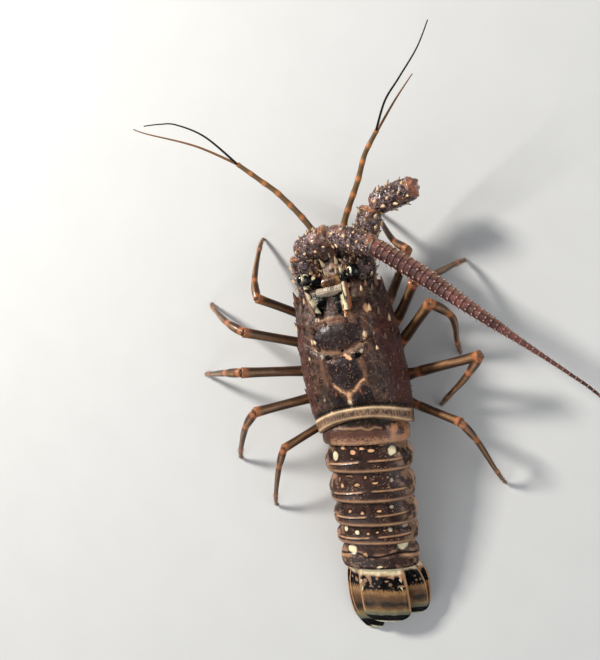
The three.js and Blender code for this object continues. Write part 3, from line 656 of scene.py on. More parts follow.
# Lines and plates of the back, seen from above: x to the right and y forward. The plates are the
# stomach's, the heart's and the two rear ones, and their corners run clockwise.
Y_LEFT = [(-8.2, 25.1), (-4.8, 21.3), (-0.9, 18)]
Y_RIGHT = [(11.2, 25.1), (5.5, 21.7), (-0.2, 18)]
Y_STEM = [(-0.4, 18.2), (-1.2, 14.5), (-1.9, 10.8)]
CHEEK = [(22.4, 85.3), (25.1, 74.8), (27.2, 68), (21.2, 57.8)]
CROSS_LINE = [(14.4, 68.3), (21.2, 57.8)]
OUTER_SEAM = [(21.2, 57.8), (22.5, 47), (23.5, 34), (22.5, 20), (20, 11)]
PLATES = [
    [(-17.5, 57.6), (-11, 63.6), (-4, 65), (4, 64.4), (12, 61.8), (16.6, 57.4), (14.4, 51.4), (9.4, 48.2),
     (1, 46.6), (-8, 48.6), (-15.8, 52.6)],
    [(-9.8, 40.6), (0, 42.6), (9.6, 40.6), (10.8, 27.6), (0, 19.6), (-8.8, 27.8)],
    [(-9.3, 23.4), (-2.8, 17.4), (-3.4, 10.8), (-13.5, 10.6), (-14.4, 18)],
    [(1.2, 17.4), (11, 23.2), (15.6, 19), (15.2, 10.6), (0, 10.8)],
]
BLACK_WEDGES = [
    [(-14, 85), (-1.6, 85), (-3.2, 77), (-6.4, 69.6), (-9.2, 71)],
    [(0.2, 85), (12.8, 85), (12.6, 76), (8.2, 67), (5.6, 68.6), (1.6, 77)],
]
TRIANGLE = [(-0.9, 81), (3.4, 69.6), (-5.2, 70.4)]
# Light marks of the back: centre, length, width, turn in degrees and colour.
BACK_MARKS = [
    ((-13.6, 81.4), 4.4, 1.8, -10, CREAM), ((-11.9, 78.0), 6.4, 3.0, -16, CREAM),
    ((-9.7, 73.4), 4.6, 1.9, -26, CREAM), ((-9.4, 69.4), 3.6, 1.2, -30, CLAY),
    ((8.7, 79.6), 4.6, 5.2, 10, CREAM), ((8.3, 76.0), 6.6, 4.0, 8, CREAM),
    ((7.6, 72.6), 4.2, 1.9, 0, PEACH), ((7.9, 68.4), 4.4, 1.6, 3, ORANGE),
    ((2.7, 43.2), 2.4, 2.0, 55, PEACH), ((4.9, 41.0), 5.0, 2.2, 50, PEACH),
    ((-5.0, 40.2), 3.4, 2.2, 0, CLAY), ((13.8, 43.7), 2.4, 2.2, -30, BONE),
    ((-12.6, 44.9), 2.4, 2.2, 0, BONE), ((17.0, 52.2), 6.6, 2.6, -32, CREAM),
    ((-16.2, 54.9), 5.6, 1.9, 34, CREAM), ((-17.6, 17.6), 3.0, 1.5, -20, BONE),
    ((-15.8, 9.6), 3.2, 1.5, -10, PEACH), ((20.9, 69.9), 6.0, 2.6, 8, PEACH),
]


def within(x, y, corners):
    """How deep each point lies inside a plate, and less than 0 outside it."""
    depth = np.full(np.shape(x), 1e9)
    for (ax, ay), (bx, by) in zip(corners, corners[1:] + corners[:1]):
        dx, dy = bx - ax, by - ay
        depth = np.minimum(depth, ((x - ax) * dy - (y - ay) * dx) / math.hypot(dx, dy))
    return depth


def mirrored(line):
    return [(-x, y) for x, y in line]


def shell_paint(rings, turns, stations, above, band):
    """The back's colours: dark plates, light seams, the black face, cream marks and dark red flanks."""
    x, y = rings[..., 0], rings[..., 1]
    wx = x + (grain(rings, 5, 1) - 0.5) * 2.4 + (grain(rings, 1.7, 6) - 0.5) * 0.8
    wy = y + (grain(rings, 5, 2) - 0.5) * 2.4 + (grain(rings, 1.7, 7) - 0.5) * 0.8
    depth = np.maximum.reduce([within(wx, wy, corners) for corners in PLATES])
    plate = smooth(depth, -0.6, 1.2)
    fine = grain(rings, 2.2, 8)
    coarse = grain(rings, 6, 9)
    vein = smooth(1 - np.abs(2 * grain(rings, 4.2, 10) - 1), 0.8, 0.97)

    paint = Paint(rings, MAHOGANY)
    paint.lay(UMBER, above * 0.6 * smooth(coarse, 0.4, 0.75))
    paint.lay(CLAY, above * 0.6 * vein * (1 - plate))
    paint.lay(CLAY, above * 0.5 * smooth(fine, 0.55, 0.85) * (1 - plate))
    paint.lay(CLAY, above * 0.55 * bell(depth, -0.9, 1.0) * smooth(coarse, 0.3, 0.75))
    paint.lay(CHAR, above * 0.93 * plate)
    paint.blotch(UMBER, above * 0.55 * plate, 1.6, 11, 0.62, 0.85)
    paint.lay((0.100, 0.058, 0.062), above * 0.5 * plate * smooth(coarse, 0.5, 0.8))

    # The mottled arch ahead of the stomach plate, and the tan sides behind the groove.
    paint.lay(CLAY, 0.9 * above * oval(wx, wy, (0.2, 66.4), 4.6, 22, soft=0.5))
    crown = oval(wx, wy, (-3.0, 67.6), 2.6, 11, soft=0.5)
    paint.lay(SAND, 0.75 * above * crown * smooth(fine, 0.3, 0.6))
    for centre in ((-5.7, 62.8), (4.2, 61.4), (-9.1, 67.9), (10.5, 64.2)):
        paint.lay(SAND, 0.6 * above * oval(wx, wy, centre, 4.2, 3.0, soft=0.5) * fine)
    for centre, length, width, turn in (((12.6, 33), 18, 2.8, 3), ((-13.2, 35), 19, 3.2, 0)):
        paint.lay(CLAY, 0.8 * above * oval(wx, wy, centre, length, width, turn, 0.5))
    for centre in ((-17.5, 13), (18.5, 12.5), (-16, 21), (17.5, 24)):
        paint.lay((0.150, 0.095, 0.045), 0.7 * above * oval(wx, wy, centre, 11, 6, 0, 0.6) * fine)

    # The groove, with its light band and black pit, and the forked light line behind the heart plate.
    behind = wy - neck_groove(x)
    reach = 1 - smooth(np.abs(x), 16, 21)
    paint.lay(CLAY, 0.9 * bell(behind, 0.5, 2.0) * reach)
    paint.lay(SAND, 0.75 * bell(behind, 0.5, 1.1) * reach * (0.6 + 0.4 * fine))
    for line in (Y_LEFT, Y_RIGHT):
        away = line_distance(wx, wy, line)
        paint.lay(CLAY, 0.8 * bell(away, 0, 1.9))
        paint.lay(PEACH, 1.1 * bell(away, 0, 0.8))
    paint.lay(PEACH, 1.5 * bell(line_distance(x, y, Y_STEM), 0, 0.95))
    paint.lay(CREAM, oval(x, y, (-1.6, 12.4), 4.4, 2.4, 8))
    for centre, length, width, turn in (
        ((-8.7, 43.1), 3.2, 6.0, 0), ((10.7, 41.6), 3.4, 5.6, 0), ((1.1, 46), 2.8, 2.6, 0),
    ):
        paint.lay(BLACK, above * oval(wx, wy, centre, length, width, turn, soft=0.35))

    # The face: two black wedges, a reddish triangle between them, and grey cheeks.
    face = smooth(y, 66, 74) * above
    paint.lay(DARK_CHEEK, 0.75 * face * smooth(np.abs(x), 11, 15) * (0.4 + 0.6 * coarse))
    for wedge in BLACK_WEDGES:
        paint.lay(BLACK, above * smooth(within(wx, wy, wedge), -0.7, 0.5))
    paint.lay((0.120, 0.048, 0.034), above * smooth(within(x, y, TRIANGLE), -0.6, 1.2))
    paint.lay(BLACK, 0.95 * above * oval(wx, wy, (15.8, 74.8), 3.4, 7.4, 40, soft=0.4))
    paint.lay(BLACK, 0.95 * above * oval(wx, wy, (-16.5, 75.5), 3.4, 7.4, -40, soft=0.4))
    for line in ([(8.8, 72.6), (13.4, 78.4), (14.6, 82)], [(-9, 71.6), (-14.6, 77), (-16, 81)]):
        paint.lay((0.26, 0.19, 0.14), 0.85 * above * bell(line_distance(wx, wy, line), 0, 1.2))

    # The hairy band along the front rim, under the eye bridge.
    from_middle = x + 1.2
    hairy = smooth(y - 82.2 - 0.04 * from_middle**2, -0.3, 0.5) * smooth(rings[..., 2], 42, 44)
    hairy = hairy * (1 - smooth(np.abs(from_middle), 8.4, 9.6))
    streak = grain(rings * np.array([1, 0.12, 0.2]), 0.5, 24)
    paint.lay((0.20, 0.15, 0.11), hairy)
    paint.lay((0.62, 0.52, 0.40), hairy * smooth(streak, 0.25, 0.7))

    # Cheeks: a thin grey-green seam, and the red skin behind it.
    for line, cross, side in ((CHEEK, CROSS_LINE, 1), (mirrored(CHEEK), mirrored(CROSS_LINE), -1)):
        paint.lay(RUST, 0.6 * above * oval(wx, wy, (side * 25.2, 64), 15, 4, -8 * side, 0.5))
        paint.lay((0.24, 0.22, 0.17), 0.95 * above * bell(line_distance(x, y, line), 0, 0.55))
        paint.lay(CLAY, 0.6 * above * bell(line_distance(x, y, cross), 0, 0.5))
        tan = oval(wx, wy, (side * 20, 71), 24, 13, -6 * side, 0.5) * smooth(fine, 0.3, 0.65)
        paint.lay((0.240, 0.118, 0.082), 0.6 * above * tan)
        outer = smooth(side * x, 24, 29) * smooth(y, 64, 70)
        paint.lay((0.120, 0.050, 0.034), 0.7 * above * outer * smooth(fine, 0.3, 0.6))

    # Dark red flanks with a light mottled edge.
    lean = np.abs(turns)
    paint.lay(WINE, 0.85 * smooth(lean, 38, 50) * smooth(66 - y, -6, 6))
    paint.lay(WINE, 0.8 * (1 - above))
    paint.lay(CLAY, 0.55 * smooth(lean, 84, 96) * (1 - smooth(lean, 110, 128)) * vein)

    edge = (grain(rings, 1.5, 12) - 0.5) * 1.1
    for centre, length, width, angle, colour in BACK_MARKS:
        paint.lay(colour, above * oval(x + edge, y - edge, centre, length, width, angle, 0.2))
    for centre in ((-8.6, 19.8), (7.5, 19.2)):
        paint.lay((0.42, 0.10, 0.04), 0.8 * oval(x, y, centre, 2.8, 1.2))
    # Light flecks over the back: partly the shell's own pale points and partly painted wet glints.
    flecks_and_glints = patches(rings, 0.7, 15, 0.84, 0.93) * patches(rings, 4.5, 16, 0.42, 0.6)
    paint.lay(PEACH, 0.75 * above * flecks_and_glints)

    # The rear rim: a tan band with fine dark dashes between two light lines.
    paint.lay((0.50, 0.30, 0.17), 0.95 * band * (0.5 + 0.5 * grain(rings, 2.5, 17)))
    dashes = smooth(grain(rings * np.array([1, 0.3, 0.3]), 0.55, 18), 0.42, 0.66)
    paint.lay(UMBER, 0.9 * dashes * bell(stations, 4.0, 1.9))
    paint.lay((0.70, 0.46, 0.25), 0.85 * band * bell(stations, 0.9, 0.9))
    paint.lay((0.80, 0.58, 0.33), 0.9 * band * bell(stations, 6.8, 0.7))
    return paint.lay((0.045, 0.035, 0.022), 0.95 * above * bell(stations, 9.0, 1.1))


def carapace():
    steps, front_steps, sides = 250, 16, 320
    share = np.linspace(-1, 1, sides, endpoint=False)
    turn = 180 * np.sign(share) * (0.62 * np.abs(share) + 0.38 * np.abs(share) ** 3)
    y = np.linspace(0, SHELL_LENGTH, steps)
    body = shell_point(y[:, None], turn[None, :])
    closing = np.linspace(0, 1, front_steps + 1)[1:, None, None]
    rim = body[-1][None]
    face = mix(np.array([0, SHELL_LENGTH, FACE_MIDDLE_Z]), rim, 1 - 0.2 * closing**2)
    face[..., 1] = mix(SHELL_LENGTH, HEAD_FRONT, np.sin(np.radians(90 * closing[..., 0])))
    rings = np.concatenate([body, face])
    turns = np.broadcast_to(turn, rings.shape[:2])
    stations = np.broadcast_to(np.concatenate([y, face[:, 0, 1]])[:, None], rings.shape[:2])
    x, y = rings[..., 0], rings[..., 1]
    normals = ring_normals(rings)
    above = smooth(90 - np.abs(turns), -12, 30)

    # Low domes for the plates, furrows between them, and knobs all over.
    plates = [within(x, y, corners) for corners in PLATES]
    dome = sum(smooth(p, -0.5, 6) for p in plates)
    furrow = sum(bell(p, -0.8, 1.1) for p in plates)
    lines = (CHEEK, CROSS_LINE, OUTER_SEAM)
    furrow = furrow + 0.7 * sum(bell(line_distance(np.abs(x), y, line), 0, 0.9) for line in lines)
    knobs = np.clip((grain(rings, 3.2, 3) - 0.54) / 0.46, 0, 1) ** 1.4
    small = np.clip((grain(rings, 1.3, 4) - 0.5) / 0.5, 0, 1)
    calm = 1 - 0.75 * np.minimum(dome, 1)
    lift = above * (dome - 0.6 * np.minimum(furrow, 1) + calm * (0.6 * knobs + 0.26 * small))
    lift = lift + 0.10 * calm * (grain(rings, 2.0, 5) - 0.5)
    band = smooth(stations, -1, 1.2) * (1 - smooth(stations, 6.8, 8.2)) * above
    lift = lift * smooth(stations, 6.5, 8.5) + 0.9 * band
    rings = rings + normals * lift[..., None]
    paint = shell_paint(rings, turns, stations, above, band)
    loft("carapace_shell", rings, SHELL, paint, "shell", "carapace")


def shell_normal(y, turn):
    here = shell_point(y, turn)
    along = shell_point(y + 0.5, turn) - shell_point(y - 0.5, turn)
    round_it = shell_point(y, turn + 1) - shell_point(y, turn - 1)
    out = normalised(np.cross(round_it, along))
    centre = np.array([0, y, SHELL_WIDEST_Z])
    return out if np.dot(out, here - centre) > 0 else -out


SPINE_ROWS = [
    (10, 50, 66, 14, 4.0), (24, 50, 66, 13, 4.8), (40, 18, 80, 15, 4.6), (56, 16, 82, 16, 5.0),
    (74, 26, 84, 14, 4.6),
]
FRONT_SPINES = [(46, 5.0), (66, 7.5), (88, 5.5)]
# Thorns that lie flat along the back and show light from above: x, y, length and root radius.
PALE_THORNS = [
    (22.8, 68.6, 4.6, 1.3), (17.5, 52.6, 4.6, 1.4), (23.2, 43.4, 2.4, 1.1), (-17.2, 54.6, 4.0, 1.2),
    (-21.7, 45.0, 2.2, 1.0), (31.4, 60.4, 4.6, 1.4), (-28.6, 66.0, 4.4, 1.3), (19.5, 82.0, 4.0, 1.2),
    (-19.5, 82.0, 4.0, 1.2), (7.9, 67.0, 3.6, 0.9), (-10.0, 67.6, 3.2, 0.9),
]


KNOB_COUNT = 520
HAIR_COUNT = 900


def turn_at(x, y):
    """The turn at which the carapace's surface reaches x."""
    half = float(eased(SHELL_WIDTH, np.array(y / SHELL_LENGTH)))
    return math.copysign(math.degrees(math.asin(min(abs(x) / half, 1) ** (1 / 0.86))), x)


def carapace_spines():
    """Forward thorns in rows, the large ones of the front rim, and small knobs between them."""
    chance = random.Random(11)
    roots = []
    for turn, first, last, spacing, length in SPINE_ROWS:
        y = first
        while y <= last:
            place = min(y + chance.uniform(-1.5, 1.5), SHELL_LENGTH - 1)
            size = length * chance.uniform(0.6, 1.0) * mix(0.7, 1.15, place / SHELL_LENGTH)
            for side in (-1, 1):
                lean = side * (turn + chance.uniform(-3, 3))
                out = shell_normal(place, lean)
                aim = out * 0.45 + np.array([0, 0.9, 0])
                tone = 0.1 if turn < 50 else 0.35
                roots.append((shell_point(place, lean), aim, size, size * 0.33, tone))
            y += spacing
    for side in (-1, 1):
        for turn, length in FRONT_SPINES:
            aim = (side * 0.2, 1, 0.35)
            roots.append((shell_point(SHELL_LENGTH - 1.5, side * turn), aim, length, length * 0.28, 1))
    grow_thorns("carapace_thorns", roots, SPINE, "shell", 12, 6)
    light = []
    for x, y, length, radius in PALE_THORNS:
        turn = turn_at(x, y)
        aim = shell_normal(y, turn) * 0.3 + np.array([0, 0.95, 0])
        light.append((shell_point(y, turn), aim, length, radius, 1))
    grow_thorns("carapace_pale_thorns", light, PALE_SPINE, "shell", 12, 6)
    knobs = []
    for _ in range(KNOB_COUNT):
        place = chance.uniform(11, SHELL_LENGTH - 2)
        lean = chance.uniform(-104, 104)
        spot = shell_point(place, lean)
        near_groove = abs(place - neck_groove(spot[0])) < 3
        size = chance.uniform(0.5, 1.2) * (0.75 if place < 44 else 1.1)
        if near_groove or (abs(lean) < 8 and place > 60):
            continue
        aim = shell_normal(place, lean) * 0.8 + np.array([0, 0.6, 0])
        knobs.append((spot, aim, size, size * 0.6, chance.choice((0.0, 0.1, 0.2, 0.75))))
    grow_thorns("carapace_knobs", knobs, SPINE, "shell", 6, 3)


def front_fringe():
    """The grey hairs that stand along the front rim, behind the eye bridge."""
    chance = random.Random(19)
    hairs = []
    for _ in range(HAIR_COUNT):
        x = chance.uniform(-9.6, 7.2)
        y = 85.6 + 0.018 * (x + 1.2) ** 2 + chance.uniform(-1.8, 1.0)
        place = shell_point(min(y, SHELL_LENGTH - 0.2), turn_at(x, min(y, SHELL_LENGTH)))
        aim = (chance.uniform(-0.25, 0.25), -0.9, chance.uniform(0.35, 0.8))
        hairs.append((place, aim, chance.uniform(1.6, 3.4), 0.17, 1))
    grow_thorns("front_fringe", hairs, FRINGE, "shell", 4, 2, 0.3)


# The head.
HORN_PATH = [(10.2, 72.5, 56.5), (12, 82.3, 61), (12.8, 91, 65), (12.7, 100.8, 67.5)]


def horns():
    """Flat-sided horns: black with cream blotches inside, orange outside and cream at the tip."""
    steps, sides = 90, 48
    for side, name in SIDES:
        path = [(side * x, y, z) for x, y, z in HORN_PATH]
        rings = tube_rings(
            path, steps, sides,
            lambda u, v: mix(2.9, 0.35, u**1.1) * (1 + 0.05 * np.cos(3 * v)),
            lambda u, v: mix(4.6, 0.4, u**0.9),
        )
        u = shares(steps)
        outward = smooth(side * (rings[..., 0] - rings[..., 0].mean(axis=1, keepdims=True)), 0.2, 1.3)
        paint = Paint(rings, BLACK)
        inside = 1 - outward
        paint.lay(CREAM, patches(rings, 3.2, 21, 0.5, 0.56) * inside * (1 - smooth(u, 0.62, 0.7)))
        paint.blotch(CREAM, bell(u, 0.3, 0.12) * inside, 2.6, 22, 0.45, 0.55)
        paint.lay((0.50, 0.17, 0.07), 0.95 * outward * (1 - smooth(u, 0.5, 0.62)))
        paint.lay(CREAM, bell(u, 0.84, 0.07))
        rings = lifted(rings, 0.3 * (grain(rings, 1.5, 23) - 0.5))
        loft("horn_shell_" + name, rings, HORN, paint, "horn", "horn_" + name)


BRIDGE_Z = 46
BRIDGE_Y = HEAD_FRONT + 3.5
EYES = {"left": (-17.6, 96.6, 49.5), "right": (16.8, 94.8, 49.5)}
EYE_RADIUS = 4.9


def eyes():
    rises = ((-6.8, 0), (-2, 0.2), (2, 0.2), (6.8, 0))
    path = [(x, BRIDGE_Y + 1.5 * rise, BRIDGE_Z + rise) for x, rise in rises]
    rings = tube_rings(path, 60, 40, lambda u, v: 3.2 * (1 - 0.12 * (2 * u - 1) ** 4) + 0 * v)
    paint = Paint(rings, (0.36, 0.165, 0.070))
    paint.blotch(AMBER_BROWN, 0.9, 1.9, 31, 0.45, 0.7)
    paint.blotch(AMBER_YELLOW, 0.7 * smooth(rings[..., 0], 0, 5), 2.4, 32, 0.4, 0.6)
    paint.lay(ORANGE, 0.75 * bell(rings[..., 1], HEAD_FRONT + 0.5, 0.7))
    paint.lay(RUST, 0.75 * bell(rings[..., 1], BRIDGE_Y + 3.0, 0.5))
    loft("amber_bridge", rings, AMBER, paint, "amber", "eye_bridge")
    for side, name in SIDES:
        ex, ey, ez = EYES[name]
        root_y = 92.2
        stalk = [(side * 6, root_y, BRIDGE_Z), (side * 12, mix(root_y, ey, 0.5), 47.4),
                 (0.97 * ex, ey, ez - 0.3)]
        tube = tube_rings(stalk, 60, 40, lambda u, v: mix(2.9, 4.3, u) + 0.15 * np.cos(2 * v))
        paint = Paint(tube, BLACK)
        top = smooth(tube[..., 2], 48.2, 49.6)
        paint.blotch(CREAM, top, 2.6, 33, 0.54, 0.6)
        loft("eye_stalk_" + name, tube, HORN, paint, "eye")
        polar = np.linspace(0.02, math.pi - 0.02, 64)[:, None]
        turn = round_turns(96)
        ball = ball_points(polar, turn)
        rings = np.array(EYES[name]) + EYE_RADIUS * ball * np.array([1.0, 1.0, 0.95])
        facing = normalised(np.array([-side * 0.62, 0.12, 0.78]))
        tilt = np.arccos(np.clip(ball @ facing, -1, 1))
        gap = smooth(ball @ normalised(np.array([-side * 0.7, -0.7, 0.1])), 0.35, 0.6)
        paint = Paint(rings, (0.012, 0.013, 0.018))
        paint.lay(CREAM, 1.3 * bell(tilt, 0.5, 0.11) * (1 - gap))
        loft("eye_dome_" + name, rings, EYE, paint, "eye", "eye_" + name)


def squared(wave, power=0.6):
    return np.sign(wave) * np.abs(wave) ** power


# Cream thorns of the plate between the feelers: place, direction and length.
PLATE_THORNS = [
    ((4.6, 104, 42.2), (0.12, 0.62, 0.75), 6), ((-4.6, 104, 42.2), (-0.12, 0.62, 0.75), 6),
    ((3.6, 97.4, 42.8), (0.12, 0.62, 0.75), 5), ((-3.6, 97.4, 42.8), (-0.12, 0.62, 0.75), 5),
    ((0.6, 101, 43.4), (0.3, 0.5, 0.8), 4.6), ((-1.6, 95.6, 42.6), (-0.1, 0.5, 0.8), 4.6),
    ((7, 100.5, 41.4), (0.5, 0.3, 0.8), 3.4), ((-7, 100.5, 41.4), (-0.5, 0.3, 0.8), 3.4),
    ((0.4, 109, 40.6), (0, 0.7, 0.7), 3.6), ((5.6, 93.2, 42), (0.2, 0.2, 0.9), 3.2),
    ((-6, 93.4, 42), (-0.3, 0.2, 0.9), 3.0),
]


def antennular_plate():
    u = shares(90)
    turn = round_turns(110)
    top = mix(42, 36.6, u) + 2.4 * np.sin(math.pi * u) ** 2
    bottom = mix(25, 27, u)
    x = squared(np.cos(turn)) * mix(9.4, 6, u * u)
    z = (top + bottom) / 2 + squared(np.sin(turn)) * (top - bottom) / 2
    y = mix(HEAD_FRONT + 0.3, 117, u) + 0 * turn
    rings = np.stack([x, y, z], axis=-1)
    rings = lifted(rings, 0.9 * (grain(rings, 2.4, 41) - 0.5))
    paint = Paint(rings, PLUM)
    paint.lay(FROST, 0.9 * patches(rings, 2.6, 42, 0.36, 0.52) * bell(x, -0.5, 5.0))
    paint.lay((0.14, 0.035, 0.018), 0.9 * bell(x, -7.4, 1.4))
    paint.blotch((0.50, 0.19, 0.08), 0.9 * bell(x, 5.4, 3.0), 4, 43, 0.2, 0.4)
    paint.lay(BLACK, 0.9 * oval(x, y, (6.8, 100.5), 3.4, 2.6, soft=0.4))
    loft("feeler_plate", rings, STALK, paint, "stalk", "antennular_plate")
    roots = [(place, aim, length, length * 0.25, 1) for place, aim, length in PLATE_THORNS]
    grow_thorns("feeler_plate_thorns", roots, CREAM_SPINE, "stalk", 12, 5)


# Lumps at the roots of the feelers that close the space between them and the plate: centre, then
# half sizes.
ROOT_LUMPS = {
    "left": [((-11.4, 94.5, 37.6), (4.4, 6.0, 6.6)), ((-12.4, 103.5, 37.0), (4.6, 7.0, 6.6)),
             ((-8.4, 111.6, 35.6), (5.4, 5.6, 5.6))],
    "right": [((10.6, 94.2, 38.0), (4.2, 6.4, 7.0)), ((11.2, 103.0, 37.6), (4.6, 7.4, 7.0)),
              ((10.8, 112.4, 37.0), (6.2, 6.4, 6.6)), ((17.0, 116.0, 36.4), (6.0, 5.4, 6.4))],
}


def feeler_roots():
    """The knobbly root of each feeler, frosted purple-brown and orange, with pale thorns."""
    thorns = []
    chance = random.Random(47)
    polar = np.linspace(0.03, math.pi - 0.03, 60)[:, None]
    turn = round_turns(80)
    ball = ball_points(polar, turn)
    for name, lumps in ROOT_LUMPS.items():
        for k, (centre, size) in enumerate(lumps):
            rings = np.array(centre) + ball * np.array(size)
            rough = 1.1 * np.clip((grain(rings, 2.3, 44 + k) - 0.45) / 0.55, 0, 1)
            rough = rough + 0.5 * grain(rings, 1.0, 45)
            rings = lifted(rings, rough - 0.4)
            paint = Paint(rings, PLUM).blotch(MAUVE, 0.5, 3, 46, 0.4, 0.7)
            paint.blotch((0.36, 0.12, 0.055), 0.7, 4.5, 48 + k, 0.52, 0.7)
            paint.blotch(BONE, 0.5, 1.1, 49, 0.68, 0.82)
            loft(f"feeler_root_{name}_{k + 1}", rings, STALK, paint, "stalk")
            for _ in range(7):
                out = [chance.uniform(-1, 1), chance.uniform(-0.6, 1), chance.uniform(0.3, 1)]
                out = normalised(np.array(out))
                length = chance.uniform(1.6, 4.2)
                spot = np.array(centre) + out * np.array(size) * 0.98
                aim = out + np.array([0, 0.4, 0.2])
                thorns.append((spot, aim, length, length * 0.34, chance.choice((0.5, 1))))
    grow_thorns("feeler_root_thorns", thorns, PALE_SPINE, "stalk", 10, 5)


# The thick stalks of the feelers, three articles each: from, to and radius.
STALKS = {
    "left": [
        ((-18.6, 86.6, 31.4), (-19.5, 115, 39.2), 8.2),
        ((-19.4, 116, 41), (5.2, 121.5, 50.8), 7.6),
        ((6, 121.8, 50.8), (34.5, 106.4, 55.4), 7),
    ],
    "right": [
        ((16.8, 87.2, 32), (21.2, 108.2, 33), 8.1),
        ((21.5, 109.1, 33.2), (33.6, 134.4, 37.4), 7.8),
        ((34.4, 135.4, 37.6), (64.5, 139, 41.6), 7.6),
    ],
}


def stalk_paint(rings, u, knobs, broken):
    paint = Paint(rings, (0.105, 0.046, 0.056))
    paint.blotch(MAUVE, 0.5, 4, 61, 0.45, 0.7)
    paint.blotch(PLUM, 0.85, 3, 62, 0.5, 0.66)
    paint.blotch((0.40, 0.17, 0.09), 0.55, 5.5, 67, 0.58, 0.74)
    frost = patches(rings, 0.6, 65, 0.46, 0.66) * patches(rings, 4, 66, 0.28, 0.5)
    paint.lay((0.60, 0.47, 0.44), 0.6 * frost)
    paint.blotch(CHAR, 0.8, 2.4, 68, 0.66, 0.76)
    paint.lay((0.26, 0.10, 0.06), 0.6 * knobs)
    paint.blotch((0.50, 0.17, 0.06), 0.85 * smooth(u, 0.86, 0.95), 5, 64, 0.3, 0.5)
    paint.blotch(BONE, 0.7 * smooth(u, 0.93, 0.98), 1.4, 63, 0.5, 0.7)
    paint.lay((0.20, 0.06, 0.03), 0.85 * bell(u, 0, 0.07))
    if broken:
        paint.lay((0.40, 0.13, 0.07), smooth(u, 0.93, 0.98))
    return paint


def feeler_stalks():
    steps, sides = 140, 120
    for name, articles in STALKS.items():
        for i, (start, end, radius) in enumerate(articles):
            chance = random.Random(31 + 7 * i + len(name))
            start, end = np.array(start, float), np.array(end, float)
            broken = name == "right" and i == 2

            def wide(u, v, r=radius):
                return r * (0.84 + 0.2 * np.sin(math.pi * u**0.8) + 0.06 * u)

            rings = tube_rings([start, (start + end) / 2, end], steps, sides, wide)
            normals = ring_normals(rings)
            u = shares(steps)
            knobs = np.clip((grain(rings, 2.2, 51 + i) - 0.5) / 0.5, 0, 1)
            lift = knobs - 0.8 * bell(u, 0, 0.05) - (0 if broken else 0.6) * bell(u, 1, 0.04)
            lift = lift + 0.5 * bell(u, 0.93, 0.03) + 0.45 * (grain(rings, 0.9, 54) - 0.5)
            rings = rings + normals * lift[..., None]
            if broken:
                ragged = smooth(u, 0.94, 1) * (grain(rings, 2.4, 57) - 0.3) * 4
                rings = rings + normalised(end - start) * ragged[..., None]
            paint = stalk_paint(rings, u, knobs, broken)
            node = f"antenna_{name}_{i + 1}"
            loft(f"stalk_{name}_{i + 1}", rings, STALK, paint, "stalk", node)
            roots = []
            axis = normalised(end - start)
            for r in range(8):
                for k in range(3):
                    out = out_from(axis, math.radians(45 * r + chance.uniform(-12, 12)))
                    part = 0.16 + 0.27 * (k + 0.5 * (r % 2)) + chance.uniform(-0.03, 0.03)
                    size = radius * chance.uniform(0.22, 0.62)
                    spot = mix(start, end, part) + out * wide(part, 0) * 0.97
                    roots.append((spot, out * 0.75 + axis * 0.65, size, size * 0.36, 1))
            grow_thorns(f"stalk_thorns_{name}_{i + 1}", roots, PALE_SPINE, "stalk", 10, 5)
            small = []
            for _ in range(170):
                out = out_from(axis, chance.uniform(0, 2 * math.pi))
                part = chance.uniform(0.08, 0.97)
                size = chance.uniform(0.5, 1.3)
                spot = mix(start, end, part) + out * wide(part, 0)
                small.append((spot, out * 0.8 + axis * 0.6, size, size * 0.5, chance.uniform(0, 0.9)))
            grow_thorns(f"stalk_knobs_{name}_{i + 1}", small, PALE_SPINE, "stalk", 6, 2)


# The whip of the left feeler.
WHIP = [
    (34.5, 106.2, 55.4), (59.8, 82.6, 58), (85.6, 55.6, 58.6), (110.4, 29.8, 57.6), (134.3, 4.9, 54.4),
    (147.8, -10.4, 52.5), (174.9, -47.9, 45.5), (197, -86.8, 36.5), (214.1, -127, 27),
]
WHIP_DIAMETER = [10.4, 10.6, 10.3, 9.2, 7.6, 6.2, 3.9, 2.7, 2, 1.7, 1.5, 1.4, 1.35, 1.3, 1.2, 1.1, 1, 1]
WHIP_CUTS = [0, 0.36, 0.66, 1]
WHIP_RING = 4.2
WHIP_POINTS = 400
# Each length's sides, step along it and ring length.
WHIP_MESH = [(30, 0.2, WHIP_RING), (16, 0.3, WHIP_RING), (10, 0.4, 3.2)]
# The direction from the whip's middle line in which its painted highlight streak lies.
WHIP_HIGHLIGHT_AIM = (0.6, 0.7, 0.35)


def whip_paint(places, share, phase, above):
    """Mauve rings that darken to brown at the tip, each with a dark front edge and a light rear one, and a
    painted highlight along one side near the root.
    """
    paint = Paint(places, (0.37, 0.112, 0.092))
    paint.lay((0.125, 0.055, 0.036), smooth(share, 0.25, 0.7))
    paint.blotch((0.085, 0.038, 0.033), 0.6, 6, 71, 0.42, 0.66)
    paint.lay((0.36, 0.19, 0.13), 0.5 * patches(places, 3, 72, 0.55, 0.75) * (1 - share))
    fine = 0.5 - 0.5 * np.sin(phase * 8 * math.pi)
    paint.lay((0.085, 0.034, 0.032), 0.8 * fine * (1 - 0.5 * share))
    paint.lay((0.060, 0.024, 0.022), 0.6 * (1 - smooth(phase, 0.0, 0.10)))
    paint.lay((0.50, 0.30, 0.25), 0.5 * smooth(phase, 0.8, 0.97) * (1 - 0.6 * share))
    # Painted highlight: a light streak along the whip's lit side, fading out towards the tip.
    return paint.lay((0.50, 0.30, 0.19), 0.5 * above * (1 - smooth(share, 0.2, 0.6)))


